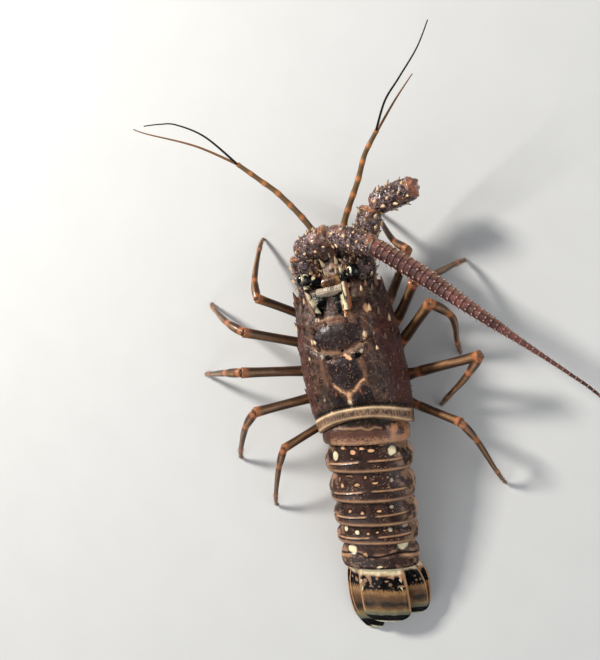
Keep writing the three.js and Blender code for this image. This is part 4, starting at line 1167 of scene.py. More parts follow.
def whip():
    last_point = WHIP_POINTS - 1
    centre, ahead = spline(WHIP, WHIP_POINTS)
    length = np.linalg.norm(np.diff(centre, axis=0), axis=1).sum()
    stations = np.linspace(0, 1, len(WHIP_DIAMETER))
    thick = np.interp(np.linspace(0, 1, WHIP_POINTS), stations, WHIP_DIAMETER) / 2
    for i, (sides, step, ring) in enumerate(WHIP_MESH):
        first, last = (int(cut * last_point) for cut in WHIP_CUTS[i : i + 2])
        part = slice(max(first - 1, 0), last + 1)
        name = f"whip_rings_{i + 1}"
        piece = grow_ringed(name, centre[part], thick[part], FEELER, sides, step, ring, 0.15, 0.025)
        mesh = piece.data
        places = np.zeros(len(mesh.vertices) * 3)
        mesh.vertices.foreach_get("co", places)
        places = (places.reshape(-1, 3) - SHIFT) * 1000
        phase = np.zeros(len(places))
        if "phase" in mesh.attributes:
            mesh.attributes["phase"].data.foreach_get("value", phase)
        nearest = np.array([np.argmin(((centre - p) ** 2).sum(axis=1)) for p in places[::sides]])
        nearest = np.repeat(nearest, sides)[: len(places)]
        nearest = np.concatenate([nearest, np.full(len(places) - len(nearest), nearest[-1])])
        # How closely each point faces the direction of the painted highlight.
        highlight_facing = normalised(places - centre[nearest]) @ normalised(np.array(WHIP_HIGHLIGHT_AIM))
        paint = whip_paint(places, nearest / last_point, phase, bell(highlight_facing, 0.95, 0.12))
        store_tint(mesh, paint.tint)
        finish_piece(piece, "feeler", f"whip_{i + 1}")
    chance = random.Random(77)
    spinules = []
    reach = WHIP_RING * 0.94
    while reach < length * 0.62:
        k = int(reach / length * last_point)
        for row in range(7):
            out = out_from(ahead[k], math.radians(51.4 * row + 25 + chance.uniform(-8, 8)))
            size = (0.5 + thick[k] * 0.26) * chance.uniform(0.7, 1.4)
            spot = centre[k] + out * thick[k] * 1.1
            spinules.append((spot, (out + ahead[k]) * 0.75, size, 0.34 + thick[k] * 0.06, 1))
        reach += WHIP_RING
    grow_thorns("whip_spinules", spinules, WHIP_SPINE, "feeler", 5, 2)


# The thin inner feelers.
ANTENNULES = {
    "left": {
        "stalk": [(-4, 108, 30.6), (-9.3, 130.7, 37), (-22.4, 154.7, 46), (-33, 167.5, 50),
                  (-45.3, 181.3, 53.8)],
        "outer": [(-44.9, 180.9, 52.7), (-70.3, 199.6, 58.5), (-101.7, 216, 62), (-110.5, 221.5, 63)],
        "inner": [(-44.9, 180.9, 54.9), (-61.5, 203.1, 61), (-79.2, 215.8, 63.6), (-90.4, 219, 65),
                  (-101, 220.4, 66.4)],
    },
    "right": {
        "stalk": [(4, 108, 30.6), (14.6, 129.9, 37.6), (30.1, 150.7, 46), (39.5, 165.5, 51),
                  (51.2, 177.3, 55.4)],
        "outer": [(50.8, 176.9, 54.2), (67.3, 191.8, 59.4), (81.3, 203.2, 63)],
        "inner": [(50.8, 176.9, 56.4), (61.1, 191.8, 62.4), (73.1, 201.9, 66.6), (88, 215.9, 69),
                  (98.2, 229.8, 71)],
    },
}
# The two threads of each: its name, radius at the root and colour.
THREADS = [("outer", 0.92, (0.30, 0.13, 0.045)), ("inner", 0.78, (0.045, 0.03, 0.022))]


def antennules():
    steps, sides, thread_points = 150, 24, 120
    for name, parts in ANTENNULES.items():
        rings = tube_rings(
            parts["stalk"], steps, sides,
            lambda u, v: mix(2.3, 1.45, u) * (1 + 0.16 * np.cos(u * 8 * math.pi) ** 6),
        )
        u = shares(steps)
        v = round_turns(sides)
        paint = Paint(rings, (0.27, 0.145, 0.055))
        paint.lay((0.080, 0.055, 0.030), 0.85 * smooth(np.sin(2 * v + 0.8) + 0 * u, 0.2, 0.7))
        paint.lay(ORANGE, 0.8 * np.cos(u * 8 * math.pi) ** 8)
        loft(f"antennule_{name}", rings, LEG, paint, "feeler", f"antennule_{name}_stalk")
        for part, radius, colour in THREADS:
            centre, _ = spline(parts[part], thread_points)
            thick = mix(radius, 0.35, np.linspace(0, 1, thread_points))
            piece = grow_ringed(f"thread_{name}_{part}", centre, thick, FEELER, 9, 0.3, 0.9, 0.14)
            store_tint(piece.data, np.tile(colour, (len(piece.data.vertices), 1)))
            finish_piece(piece, "feeler", f"antennule_{name}_{part}")


# The underside.
STERNUM_BACK, STERNUM_FRONT, STERNUM_Z = 3, 63, 8.5
MOUTH_Y = 76.5
BELLY_TOP_Z = SHELL_BOTTOM_Z - 0.3
PALP_PATH = [(3.2, 61.4, 9.8), (6.8, 67, 6.2), (8.4, 78, 5.6), (5.4, 89, 7.6)]
PALP_RADIUS = [2.4, 2.8, 2.6, 2.3, 2.1, 1.9, 1.6, 1.3, 0.8]


def sternum_half(y):
    return mix(15.5, 7.5, (y - STERNUM_BACK) / (STERNUM_FRONT - STERNUM_BACK))


def underside():
    palp_steps, palp_sides = 80, 24
    u = shares(90)
    turn = round_turns(60)
    y = mix(STERNUM_BACK, STERNUM_FRONT, u) + 0 * turn
    share = squared(np.cos(turn), 0.5)
    under = STERNUM_Z + 1.4 * np.abs(share) + 0.8 * np.cos(u * 10 * math.pi)
    up = smooth(np.sin(turn), -0.15, 0.25)
    rings = np.stack([share * sternum_half(y), y, mix(under, BELLY_TOP_Z, up)], axis=-1)
    paint = Paint(rings, (0.50, 0.30, 0.17))
    paint.blotch(CREAM, 0.6, 4, 81, 0.45, 0.7)
    paint.lay(RUST, 0.6 * smooth(-np.cos(u * 10 * math.pi), 0.6, 0.95))
    loft("breastplate", rings, BELLY, paint, "belly", "sternum")
    low = mix(10.4, 14, u)
    middle = (BELLY_TOP_Z + low) / 2
    rings = np.stack([
        squared(np.cos(turn)) * mix(15, 19, u),
        mix(MOUTH_Y, HEAD_FRONT - 0.5, u) + 0 * turn,
        middle + squared(np.sin(turn)) * (middle - low)], axis=-1)
    rings = lifted(rings, 0.5 * (grain(rings, 3, 83) - 0.5))
    paint = Paint(rings, (0.36, 0.17, 0.09)).blotch(CREAM, 0.6, 3, 82, 0.5, 0.65)
    loft("mouth_plate", rings, BELLY, paint, "belly", "epistome")
    for side, name in SIDES:
        polar = np.linspace(0.04, math.pi - 0.04, 30)[:, None]
        ball = ball_points(polar, turn)[..., [1, 0, 2]]
        centre = np.array([side * 5.1, (STERNUM_FRONT + MOUTH_Y) / 2, BELLY_TOP_Z - 3.1])
        rings = centre + ball * np.array([4.6, 5.4, 3.1])
        paint = Paint(rings, BONE).lay(UMBER, smooth(-side * ball[..., 0], 0.5, 0.9))
        loft("jaw_" + name, rings, BELLY, paint, "belly", "mandible_" + name)
        path = [(side * x, y, z) for x, y, z in PALP_PATH]
        rings = tube_rings(path, palp_steps, palp_sides, lambda u, v: eased(PALP_RADIUS, u),
                           lambda u, v: eased(PALP_RADIUS, u) * 0.8)
        along = shares(palp_steps)
        paint = Paint(rings, (0.34, 0.17, 0.08)).lay(ORANGE, 0.8 * np.cos(along * 4 * math.pi) ** 8)
        paint.blotch(OLIVE, 0.6, 2.4, 84, 0.5, 0.65)
        loft("palp_" + name, rings, LEG, paint, "belly", "maxilliped_" + name)
        hairs = []
        chance = random.Random(85 + side)
        for _ in range(160):
            i = chance.randrange(20, palp_steps - 2)
            j = chance.randrange(palp_sides)
            out = normalised(rings[i, j] - rings[i].mean(axis=0))
            hairs.append((rings[i, j], out + np.array([0, 0.5, 0]), chance.uniform(1.2, 2.6), 0.13, 1))
        grow_thorns("palp_bristles_" + name, hairs, BRISTLE, "belly", 3, 1, 0.3)


# Walking legs: knee, wrist and foot, from the front pair to the rear pair.
LEGS = {
    "right": [
        ((51.4, 101.8, 38), (41.4, 111.3, 29), (28, 137.7, 0)),
        ((52.1, 79.8, 43), (66, 82.6, 37), (80.6, 90.3, 0)),
        ((59.4, 64.6, 43), (69.7, 53.5, 34), (65.3, 31, 0)),
        ((83, 25.9, 41), (70.1, 14.5, 31), (46, -0.6, 0)),
        ((62, -12.8, 37), (68.7, -26.4, 31), (76.3, -58.1, 0)),
    ],
    "left": [
        ((-55.8, 93.2, 38), (-57.5, 107.1, 31), (-56.1, 137.3, 0)),
        ((-68.7, 72.5, 42), (-81.2, 81.9, 36), (-104.2, 100.7, 0)),
        ((-75.3, 46.1, 43), (-89.5, 48.4, 36), (-118.7, 51.9, 0)),
        ((-71.9, 18.3, 41), (-83.4, 9.6, 34), (-104.3, -11.5, 0)),
        ((-58.4, -9.1, 36), (-66.8, -21.5, 30), (-84.4, -48.5, 0)),
    ],
}
LEG_ROOT_Y = [57, 45.5, 34, 22.5, 11]
LEG_SIZE = [0.92, 1, 1.04, 1, 0.86]
UPPER_RADIUS = [3.6, 4.6, 4.5, 3.4, 3.5, 3.3, 3.15, 3.1, 3.1, 3.2, 3.5]
LOWER_RADIUS = [2.7, 3, 2.8, 2.3, 2.2, 2.1, 1.95, 1.8, 1.7, 1.7, 1.4, 1.1, 0.8]


def leg_paint(rings, seed, joints):
    """Lengthwise dark olive and light tan stripes, with orange joints."""
    steps, sides = rings.shape[:2]
    u = shares(steps)
    v = round_turns(sides)
    paint = Paint(rings, (0.25, 0.125, 0.055))
    wander = 0.5 * (grain(rings, 9, seed) - 0.5)
    stripe = np.sin(3 * (v + wander) + 0.6)
    paint.lay((0.105, 0.052, 0.032), 0.9 * smooth(stripe, 0.0, 0.5))
    paint.lay((0.50, 0.27, 0.13), 0.6 * smooth(-stripe, 0.6, 0.95))
    for joint in joints:
        paint.lay((0.55, 0.19, 0.07), 0.85 * bell(u, joint, 0.035))
        paint.lay(RUST, 0.6 * bell(u, joint + 0.045, 0.012))
    return paint


def legs():
    steps, sides = 150, 26
    hooks, bristles = [], []
    chance = random.Random(91)
    for name, group in LEGS.items():
        for i, (knee, wrist, foot) in enumerate(group):
            knee, wrist, foot = (np.array(p, float) for p in (knee, wrist, foot))
            side = math.copysign(1, knee[0])
            size = LEG_SIZE[i]
            root = np.array([side * (sternum_half(LEG_ROOT_Y[i]) - 1), LEG_ROOT_Y[i], 11.6])
            sweep = (knee[1] - root[1]) / (abs(knee[0]) - abs(root[0]))
            bend = np.array([side * 34, root[1] + sweep * (34 - abs(root[0])), 13.5])
            start = np.array([side * 22, root[1] + sweep * (22 - abs(root[0])) * 0.8, 10.2])
            upper = tube_rings([root, start, bend, knee], 120, 28,
                               lambda u, v: size * eased(UPPER_RADIUS, u) * (1 + 0.05 * np.cos(2 * v)))
            paint = leg_paint(upper, 92 + i, (0.12, 0.36, 0.98))
            loft(f"thigh_{name}_{i + 1}", upper, LEG, paint, "leg", f"leg_{name}_{i + 1}_upper")
            shin = normalised(knee - bend)
            above_knee = knee - shin * 1.5 + np.array([0, 0, 2.6 * size])
            hooks.append((above_knee, shin + np.array([0, 0, 0.5]), 3.4, 1.2, 1))
            down = normalised(wrist - knee)
            ankle = mix(wrist, foot, 0.66) + np.array([0, 0, 4.5])
            path = [knee - down * 0.6, wrist, ankle, foot + np.array([0, 0, 3]), foot]
            lower = tube_rings(path, steps, sides,
                               lambda u, v: size * eased(LOWER_RADIUS, u) * (1 + 0.04 * np.cos(2 * v)))
            lower[..., 2] = np.maximum(lower[..., 2], 0)
            paint = leg_paint(lower, 97 + i, (0.03, 0.24, 0.72))
            paint.lay(UMBER, smooth(shares(steps), 0.93, 1))
            loft(f"shin_{name}_{i + 1}", lower, LEG, paint, "leg", f"leg_{name}_{i + 1}_lower")
            for _ in range(170):
                a = chance.randrange(104, steps - 4)
                b = chance.randrange(sides)
                out = normalised(lower[a, b] - lower[a].mean(axis=0))
                along = normalised(lower[a + 3].mean(axis=0) - lower[a].mean(axis=0))
                bristles.append((lower[a, b], out * 0.8 + along * 0.9, chance.uniform(0.9, 2.0), 0.12, 1))
    grow_thorns("leg_hooks", hooks, SPINE, "leg", 10, 5)
    grow_thorns("foot_bristles", bristles, BRISTLE, "leg", 3, 1, 0.3)


# The tail.
def back_frame(s):
    """Origin and the right, ahead and up directions of the back, s millimetres behind the rim."""
    s = np.asarray(s, float)
    first, gain = math.radians(TAIL_PITCH_FIRST), math.radians(TAIL_PITCH_GAIN)
    pitch = first + gain * s
    run = (np.sin(pitch) - math.sin(first)) / gain
    drop = (math.cos(first) - np.cos(pitch)) / gain
    yaw = math.radians(TAIL_YAW)
    forward = np.array([math.sin(yaw), math.cos(yaw), 0.0])
    right = np.array([math.cos(yaw), -math.sin(yaw), 0.0])
    up = np.array([0.0, 0.0, 1.0])
    ahead = forward * np.cos(pitch)[..., None] + up * np.sin(pitch)[..., None]
    out = up * np.cos(pitch)[..., None] - forward * np.sin(pitch)[..., None]
    origin = np.array([0, 0, BACK_START_Z]) - forward * run[..., None] - up * drop[..., None]
    return origin, right, ahead, out


def on_back(s, x, z, y=0.0):
    origin, right, ahead, out = back_frame(s)
    x, z, y = np.broadcast_arrays(x, z, y)
    return origin + x[..., None] * right + y[..., None] * ahead + z[..., None] * out


# Where each ring's cross groove lies, in millimetres along the back.
RING_GROOVE = [None, 26.5, 46.8, 64.2, 79, 92.5]


def tail_ring(i):
    steps, arch_sides, low_sides = 72, 120, 30
    front = RINGS_END[i] - 2.6 if i else -7
    rear = RINGS_END[i + 1] + 0.1
    s = np.linspace(front, rear, steps)[:, None]
    u = np.clip((s - RINGS_END[i]) / (RINGS_END[i + 1] - RINGS_END[i]), 0, 1)
    under = smooth(-s, -RINGS_END[i] - 0.6, -RINGS_END[i] + 1.2) if i else 0 * s
    w0 = eased(TAIL_HALF_WIDTH, (i + u) / 6)
    h = eased(TAIL_HEIGHT, (i + u) / 6)
    drop = PLEURON_DROP[i] * eased(TOOTH, u)
    arch = np.radians(np.linspace(0, 90, arch_sides // 2 + 1))[None, :]
    w = w0 + mix(-2.2, 1.6, smooth(u, 0.05, 0.62)) - 1.1 * smooth(u, 0.84, 1) - 1.3 * under
    lip = mix(-0.9, 0.5, smooth(u, 0, 0.5)) - 1.3 * under
    level = 0.6 * h
    arch_x = w * np.sin(arch) ** 0.88
    arch_z = lip - level * (1 - np.cos(arch) ** 0.85)
    knots = np.array([0, 0.3, 0.52, 0.6, 0.7, 1.0])
    low_edge = -h - drop
    side_x = np.stack([w, w - 1.2, w - 4.2, w - 6.2, w - 7.6, 0 * w], axis=-1)
    side_z = np.stack([lip - level, (low_edge - level) / 2, low_edge, low_edge, 0.4 - h, -h - 1], axis=-1)
    t = np.linspace(0, 1, low_sides + 1)[1:]
    low_x = np.stack([np.interp(t, knots, row[0]) for row in side_x])
    low_z = np.stack([np.interp(t, knots, row[0]) for row in side_z])
    half_x = np.concatenate([arch_x, low_x], axis=1)
    half_z = np.concatenate([arch_z, low_z], axis=1)
    x = np.concatenate([half_x, -half_x[:, -2:0:-1]], axis=1)
    z = np.concatenate([half_z, half_z[:, -2:0:-1]], axis=1)
    place_s = np.broadcast_to(s, x.shape)
    rings = on_back(place_s, x, z)
    normals = ring_normals(rings)
    back = smooth(z, -0.62 * h, -0.45 * h)
    if i:
        open_middle = smooth(np.abs(x), 1.5, 5) if i < 5 else 1
        sunk = 0.75 * bell(place_s, groove_line(i, x), 0.75) * open_middle * back
        rings = rings - normals * sunk[..., None]
    rear_lip = 0.35 * bell(s, rear - 1.0, 0.7)
    rough = 0.14 * (grain(rings, 1.6, 101) - 0.5) + 0.10 * (grain(rings, 0.8, 102) - 0.5)
    rings = rings + normals * ((rough + rear_lip) * back)[..., None]
    rings[..., 2] = np.maximum(rings[..., 2], 0)
    paint = tail_paint(i, place_s, x, back, rings)
    loft(f"ring_plate_{i + 1}", rings, TAIL, paint, "shell", f"tail_ring_{i + 1}")


def groove_line(i, x):
    """Where a ring's cross groove runs along the back, for a place across it."""
    if i == 5:
        return RING_GROOVE[5] + 1.3 * np.cos(x / 5.0) - 0.4
    return RING_GROOVE[i] + (0.010 * np.abs(x) ** 1.5 if i < 3 else 0.0) - 0.045 * x


# Light spots on each ring: (across, along the back), length, width and colour.
TAIL_SPOTS = {
    0: [],
    1: [((-18.7, 23), 6.0, 3.8, CREAM), ((18.8, 20.8), 6.0, 4.6, CREAM), ((-13.2, 17.4), 2.4, 2.4, PEACH),
        ((-6.2, 20.3), 2.8, 3.4, PEACH), ((-0.3, 18.1), 1.6, 2.6, PEACH), ((6.1, 19.7), 2.2, 4.0, PEACH),
        ((12.6, 16.6), 1.4, 3.4, SAND)],
    2: [((-16.4, 43), 2.8, 2.2, PEACH), ((-6, 42.1), 2.2, 3.2, PEACH), ((0.2, 37.5), 1.6, 2.0, PEACH),
        ((-11, 36.6), 1.0, 5.0, SAND), ((6.1, 41), 1.4, 3.6, PEACH), ((16.6, 40.1), 2.4, 2.0, BONE)],
    3: [((-13.5, 60.7), 2.2, 2.2, PEACH), ((-5.2, 61.4), 1.6, 2.4, PEACH), ((6.4, 60.4), 1.6, 2.8, PEACH),
        ((14.5, 58.3), 2.0, 2.4, BONE)],
    4: [((-18.6, 73.6), 3.4, 3.0, CREAM), ((-10.6, 75.4), 2.8, 2.8, CREAM), ((-3, 76.1), 1.4, 2.0, PEACH),
        ((3.2, 75.3), 1.4, 2.0, PEACH), ((11.6, 73.8), 2.4, 2.8, BONE), ((20.8, 73), 2.6, 3.4, BONE)],
    5: [((-16.0, 88.1), 5.8, 6.0, CREAM), ((17.8, 85.9), 5.6, 6.4, CREAM), ((-7.3, 91.4), 2.4, 3.0, PEACH),
        ((1.2, 100.2), 1.3, 4.4, CREAM)],
}


def tail_paint(i, s, x, back, rings):
    front, rear = RINGS_END[i], RINGS_END[i + 1]
    u = (s - front) / (rear - front)
    wave = grain(rings, 5, 103) - 0.5
    fine = grain(rings, 1.3, 113)
    tone = (1, 1, 1.35, 1.1, 1, 1.35)[i]
    paint = Paint(rings, np.array((0.100, 0.048, 0.036)) * tone)
    paint.lay(np.array((0.056, 0.030, 0.027)) * tone, 0.7 * patches(rings, 8, 104, 0.4, 0.65))
    paint.blotch(UMBER, 0.6, 3, 105, 0.5, 0.75)
    side = smooth(np.abs(x), 17.5, 24)
    light = side * patches(rings, 3.2, 106, 0.45, 0.6) * (1 - smooth(u, 0.8, 0.9))
    paint.lay(SAND, 0.8 * light)
    specks = patches(rings, 0.7, 114, 0.78, 0.88) * patches(rings, 5, 115, 0.4, 0.6)
    paint.lay(PEACH, 0.7 * specks * back)
    if i == 0:
        paint.lay((0.050, 0.036, 0.022), 0.8 * (1 - smooth(s, 2, 3.4)))
        paint.lay((0.21, 0.088, 0.060), smooth(s + 2 * wave, 6, 7.4) * (0.75 + 0.25 * fine))
        stipple = patches(rings, 0.6, 122, 0.4, 0.6) * smooth(s, 8.5, 13.5)
        paint.lay((0.56, 0.29, 0.17), 0.85 * stipple)
        paint.blotch(SAND, 0.9 * bell(s + 3 * wave, 5.2, 0.9), 2.5, 116, 0.25, 0.45)
        paint.lay(SAND, 0.85 * bell(s, 14.0, 1.3))
        flap = smooth(x, 18, 21) * smooth(s - 0.5 * (24 - x), 1.5, 4)
        paint.blotch((0.56, 0.26, 0.13), 0.9 * flap, 4, 117, 0.15, 0.4)
        paint.lay((0.10, 0.045, 0.032), 0.8 * smooth(-x, 19.5, 22))
    if i in (1, 2, 3, 4):
        gap = smooth(np.abs(x - 0.2), 2.0, 4.6) * smooth(26 - np.abs(x), 0, 3)
        at_groove = groove_line(i, x)
        paint.lay((0.030, 0.017, 0.014), 0.9 * gap * bell(s, at_groove + 1.0, 0.6))
        paint.lay(PEACH, gap * bell(s, at_groove - 0.1, 0.6) * (0.7 + 0.5 * grain(rings, 3, 108)))
        paint.lay(SAND, 1.1 * bell(s, rear - 1.1, 1.0 + 0.4 * wave))
        paint.lay(CLAY, 0.7 * bell(s, rear - 0.1, 0.45))
        paint.lay(SAND, 0.7 * side * bell(u, 0.16, 0.07) * smooth(fine, 0.3, 0.6))
    if i == 5:
        wavy = groove_line(i, x)
        paint.blotch(SAND, 0.9 * bell(s, wavy - 1.7, 0.9), 4, 118, 0.25, 0.5)
        paint.lay((0.56, 0.29, 0.15), 0.95 * smooth(np.abs(x), 13, 20) * bell(s, wavy + 1.6, 1.3))
        paint.blotch(SAND, 0.75 * bell(s, wavy + 1.3, 0.6), 3, 109, 0.4, 0.6)
        paint.lay(BLACK, 0.95 * bell(s, wavy, 0.55))
        dots = patches(rings, 1.4, 119, 0.62, 0.72) * smooth(s, 96, 98)
        paint.lay(SAND, 0.6 * dots)
        paint.blotch(BLACK, 0.8 * bell(s, rear - 0.8, 0.7), 2, 120, 0.3, 0.5)
    for centre, long, wide, colour in TAIL_SPOTS[i]:
        edge = (grain(rings, 1.4, 110) - 0.5) * 0.9
        paint.lay(BLACK, 0.5 * oval(x + edge, s + edge, centre, long + 1.6, wide + 1.6, soft=0.3))
        paint.lay(colour, oval(x + edge, s + edge, centre, long, wide, soft=0.2))
    if i:
        paint.lay(BLACK, 0.85 * (1 - smooth(s - front, -0.2, 1.1)) * back)
    tooth = 1 - back
    outside = smooth(np.abs(x), 12, 20)
    paint.lay(PEACH, 0.9 * tooth * patches(rings, 4, 111, 0.35, 0.55) * outside)
    paint.blotch(BLACK, 0.9 * tooth, 2.6, 112, 0.56, 0.66)
    return paint.lay((0.45, 0.27, 0.16), (1 - outside) * tooth)


def swimmerets():
    for i in range(1, 5):
        s = mix(RINGS_END[i], RINGS_END[i + 1], 0.45)
        h = float(eased(TAIL_HEIGHT, np.array((i + 0.45) / 6)))
        for side, name in SIDES:
            u = shares(40)
            turn = round_turns(30)
            reach = np.sin(math.pi * mix(0.1, 0.97, u)) * 5.2
            x = side * (8 + 7 * u) + 0 * turn
            y = np.cos(turn) * reach - 4 * u
            z = -h + 1 - 7.5 * u + np.sin(turn) * 0.6 + 0.15 * np.sin(8 * y)
            rings = on_back(np.full(x.shape, s), x, z, y)
            rings[..., 2] = np.maximum(rings[..., 2], 1.5 + 0.3 * np.sin(turn))
            paint = Paint(rings, (0.36, 0.20, 0.09)).lay(OLIVE, smooth(u, 0.55, 0.9))
            paint.blotch(ORANGE, 0.7, 2, 115, 0.55, 0.7)
            loft(f"swimmeret_{name}_{i}", rings, FAN, paint, "fan")


# The tail fan.
def blade(name, node, length, inner, outer, high, low, thick, bow, paint_of, round_from=0.72):
    """A thin plate between two edges, with fine ribs that run to its rear margin."""
    steps, count = 150, 84
    u = shares(steps)
    t = 1 - (1 - u) ** 1.5
    s = FAN_START - 0.4 + (length + 0.4) * t
    end = (1 - 0.9 * np.clip((t - round_from) / (1 - round_from), 0, 1) ** 2.6) ** 0.5
    centre = (eased(inner, t) + eased(outer, t)) / 2
    half = (eased(outer, t) - eased(inner, t)) / 2 * end
    across = np.linspace(0, 1, count)[None, :]
    share = (across - 0.5) * 2 * end
    x = centre + half * (across - 0.5) * 2
    top = mix(eased(high, t), eased(low, t), (share + 1) / 2) - bow * share * share
    rim = np.minimum(across, 1 - across) * 6
    full = eased(thick, t) * np.minimum(1, 0.45 + rim)
    soft = smooth(t, 0.36, 0.5)
    ribs = 0.12 * np.sin(across * count * 1.9) * soft * np.minimum(1, rim)
    raised = 0.45 * bell(np.abs(share), 0.86, 0.07) * (1 - smooth(t, 0.7, 0.85))
    upper = on_back(s + 0 * across, x, top + ribs + raised)
    lower = on_back(s + 0 * across, x, top - full)[:, ::-1]
    upper[..., 2] = np.maximum(upper[..., 2], full)
    lower[..., 2] = np.maximum(lower[..., 2], 0)
    rings = np.concatenate([upper, lower], axis=1)
    breadths = np.concatenate([share, share[:, ::-1]], axis=1)
    lengths = np.broadcast_to(t, breadths.shape)
    hard = 1 - smooth(lengths, 0.34, 0.42)
    bumps = 0.6 * np.clip(grain(rings, 2.2, 121) - 0.5, 0, 1) * hard
    rings = lifted(rings, bumps)
    rings[..., 2] = np.maximum(rings[..., 2], 0)
    loft(name, rings, FAN, paint_of(rings, lengths, breadths), "fan", node)


def fan_paint(rings, t, share, seed=0, hard_end=0.39):
    """A blotched hard root, then golden and olive bands, a pale one, a black one and a white rim."""
    wave = (grain(rings, 3, 131 + seed) - 0.5) * 0.05
    streak = grain(rings * np.array([3.2, 0.22, 1.0]), 0.8, 132 + seed)
    t2 = t + wave
    blob = grain(rings, 2.7, 133 + seed)
    paint = Paint(rings, SAND).blotch((0.56, 0.27, 0.13), 1, 3.6, 134 + seed, 0.4, 0.7)
    paint.lay(CREAM, 0.85 * (1 - smooth(t2, 0.10, 0.15)))
    zone = smooth(t2, 0.11, 0.17) * (1 - smooth(np.abs(share), 0.86, 0.94))
    paint.lay(BLACK, zone * smooth(blob, 0.28, 0.36) * (1 - smooth(blob, 0.62, 0.70)))
    dark_root = smooth(t2 + 0.05 * streak, hard_end - 0.035, hard_end)
    paint.lay(BLACK, 0.95 * dark_root * (1 - smooth(t2, 0.4, 0.44)))
    soft = smooth(t + 0.09 * (streak - 0.5) + 0.02 * wave, hard_end, hard_end + 0.035)
    paint.lay(GOLD, soft)
    paint.lay((0.60, 0.34, 0.13), 0.7 * soft * bell(t, hard_end + 0.09, 0.05) * smooth(streak, 0.3, 0.6))
    paint.lay((0.20, 0.085, 0.026), 0.75 * bell(t2, 0.56, 0.07))
    paint.blotch(OLIVE, bell(t2, 0.67, 0.075), 7, 135 + seed, 0.1, 0.45)
    lined = smooth(t, hard_end, 0.5) * (1 - smooth(t, 0.7, 0.8))
    paint.lay(UMBER, 0.45 * lined * smooth(streak, 0.55, 0.8))
    paint.lay((0.34, 0.26, 0.11), 0.95 * smooth(t2, 0.745, 0.79))
    paint.lay((0.24, 0.235, 0.16), 0.9 * smooth(t2, 0.80, 0.85))
    paint.lay(BLACK, smooth(t + 0.4 * wave, 0.865, 0.885))
    paint.lay((0.66, 0.60, 0.46), smooth(t, 0.968, 0.985))
    edge = smooth(np.abs(share), 0.90, 0.96)
    return paint.lay((0.58, 0.31, 0.15), 0.85 * edge * (1 - smooth(t, 0.78, 0.86)))


TELSON_EDGES = ([-14.4, -15.2, -15.6, -15.6, -15.2], [15.6, 16.8, 17.2, 17, 16.4])
TELSON_HEIGHT = [-0.6, 0, 0, 0.4, 0.6]
TELSON_THICK = [3, 2.6, 1.6, 1.2, 0.9]
BLADE_THICK = [2.2, 1.5, 1.1, 0.9, 0.8]
# Each side blade's length, then its inner and outer edge from root to end.
BLADES = {
    "right": {
        "inner": (37.5, [14.6, 13, 12.4, 12, 12], [21, 26, 28.2, 28, 27]),
        "outer": (38, [19.5, 17, 15.6, 15, 15], [24.4, 29.2, 30, 29.4, 28]),
    },
    "left": {
        "inner": (50, [-14.6, -12, -8, -4, -2], [-21, -23.6, -24.6, -22.6, -18]),
        "outer": (52.5, [-19.5, -17, -14, -10, -7], [-24.4, -26.4, -27, -25.6, -21]),
    },
}
BLADE_HEIGHT = {
    "inner": ([-5, -4.6, -4.2, -3.9, -3.7], [-9, -8.4, -7.4, -6.5, -5.9]),
    "outer": ([-10.6, -8.6, -7.4, -6.4, -5.8], [-12.8, -12, -10.6, -9, -7.8]),
}


def tail_fan():
    inner, outer = TELSON_EDGES
    blade("telson_blade", "telson", TELSON_LENGTH, inner, outer, TELSON_HEIGHT, TELSON_HEIGHT,
          TELSON_THICK, 1.5, fan_paint, round_from=0.8)
    for name, blades in BLADES.items():
        for part, (length, inner, outer) in blades.items():
            high, low = BLADE_HEIGHT[part]
            seed = 3 * (name == "left") + (part == "outer")
            hard_end = 0.41 if name == "right" else 0.32
            blade(f"side_blade_{name}_{part}", f"uropod_{name}_{part}", length, inner, outer, high, low,
                  BLADE_THICK, 0.3, lambda r, t, a, k=seed, h=hard_end: fan_paint(r, t, a, 7 * k + 5, h))
    thorns = []
    for side in (-1, 1):
        for behind in (9, 15):
            origin, right, ahead, out = back_frame(FAN_START + behind)
            place = origin + side * 13.2 * right - 1.4 * out
            thorns.append((place, side * 0.35 * right - ahead + 0.12 * out, 3.4, 1.0, 1))
    grow_thorns("telson_thorns", thorns, CREAM_SPINE, "fan", 10, 4)


# The pieces, in order.
carapace()
carapace_spines()
front_fringe()
horns()
eyes()
antennular_plate()
feeler_roots()
feeler_stalks()
whip()
antennules()
underside()
legs()
for ring in range(6):
    tail_ring(ring)
swimmerets()
tail_fan()


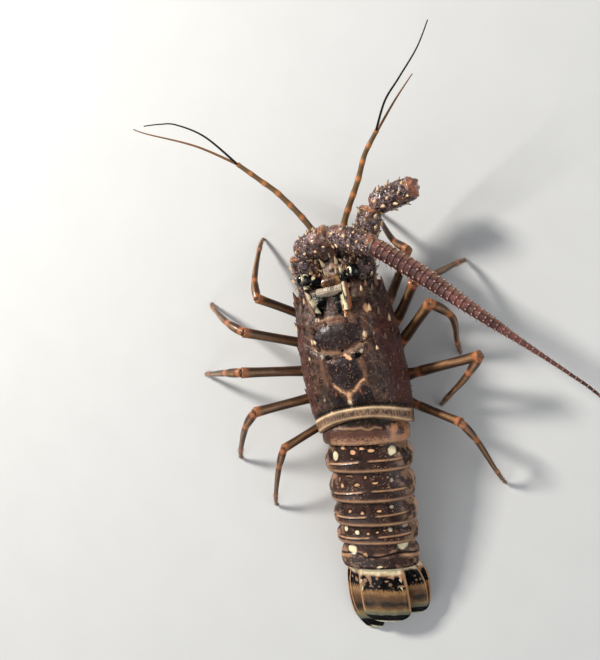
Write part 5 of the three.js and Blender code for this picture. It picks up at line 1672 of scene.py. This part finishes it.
# The floor, the lights and the camera.
def stage():
    mesh = bpy.data.meshes.new("floor")
    reach = 12.0
    corners = [(-reach, -reach, 0), (reach, -reach, 0), (reach, reach, 0), (-reach, reach, 0)]
    mesh.from_pydata(corners, [], [(0, 1, 2, 3)])
    floor = put_in_scene("floor", mesh)
    material, tree, shader, place = new_material("pale floor")
    colour = blended(tree, noise(tree, place, 30, 3), (0.59, 0.59, 0.58), (0.63, 0.63, 0.62))
    tree.links.new(colour, shader.inputs["Base Color"])
    shader.inputs["Roughness"].default_value = 0.8
    mesh.materials.append(material)
    world = bpy.data.worlds.new("studio")
    world.use_nodes = True
    world.node_tree.nodes["Background"].inputs["Color"].default_value = (0.92, 0.95, 1.0, 1)
    world.node_tree.nodes["Background"].inputs["Strength"].default_value = 0.24
    bpy.context.scene.world = world
    bpy.context.scene.view_settings.view_transform = "Standard"


def lamp(name, place, aim, size, power, colour):
    light = bpy.data.lights.new(name, "AREA")
    light.shape = "SQUARE"
    light.size = size
    light.energy = power
    light.color = colour
    thing = put_in_scene(name, light)
    thing.location = place
    thing.rotation_euler = (Vector(aim) - Vector(place)).to_track_quat("-Z", "Y").to_euler()


def camera():
    """The photograph's viewpoint, as three directions and a place in body millimetres."""
    right = Vector((0.9276, -0.1948, -0.3189))
    up = Vector((0.2060, 0.9785, 0.0011))
    back = Vector((0.3119, -0.0667, 0.9478))
    lens = bpy.data.cameras.new("camera")
    lens.sensor_width = 36
    lens.lens = 961 * 36 / 660
    lens.clip_start = 0.01
    thing = put_in_scene("camera", lens)
    turn = Matrix((right, up, back)).transposed().to_4x4()
    place = Vector(row_frame((168.8, 23.5, 643.1)))
    thing.matrix_world = Matrix.Translation(place) @ turn
    bpy.context.scene.camera = thing


stage()
lamp("key", (-0.84, 0.84, 0.86), (0, 0, 0.03), 0.26, 27, (1.0, 0.97, 0.92))
lamp("fill", (0.9, -0.3, 0.9), (0, 0, 0), 1.1, 6, (0.92, 0.96, 1.0))
lamp("rim", (-0.9, -0.9, 0.8), (0, 0, 0), 0.8, 4, (1.0, 1.0, 1.0))
camera()
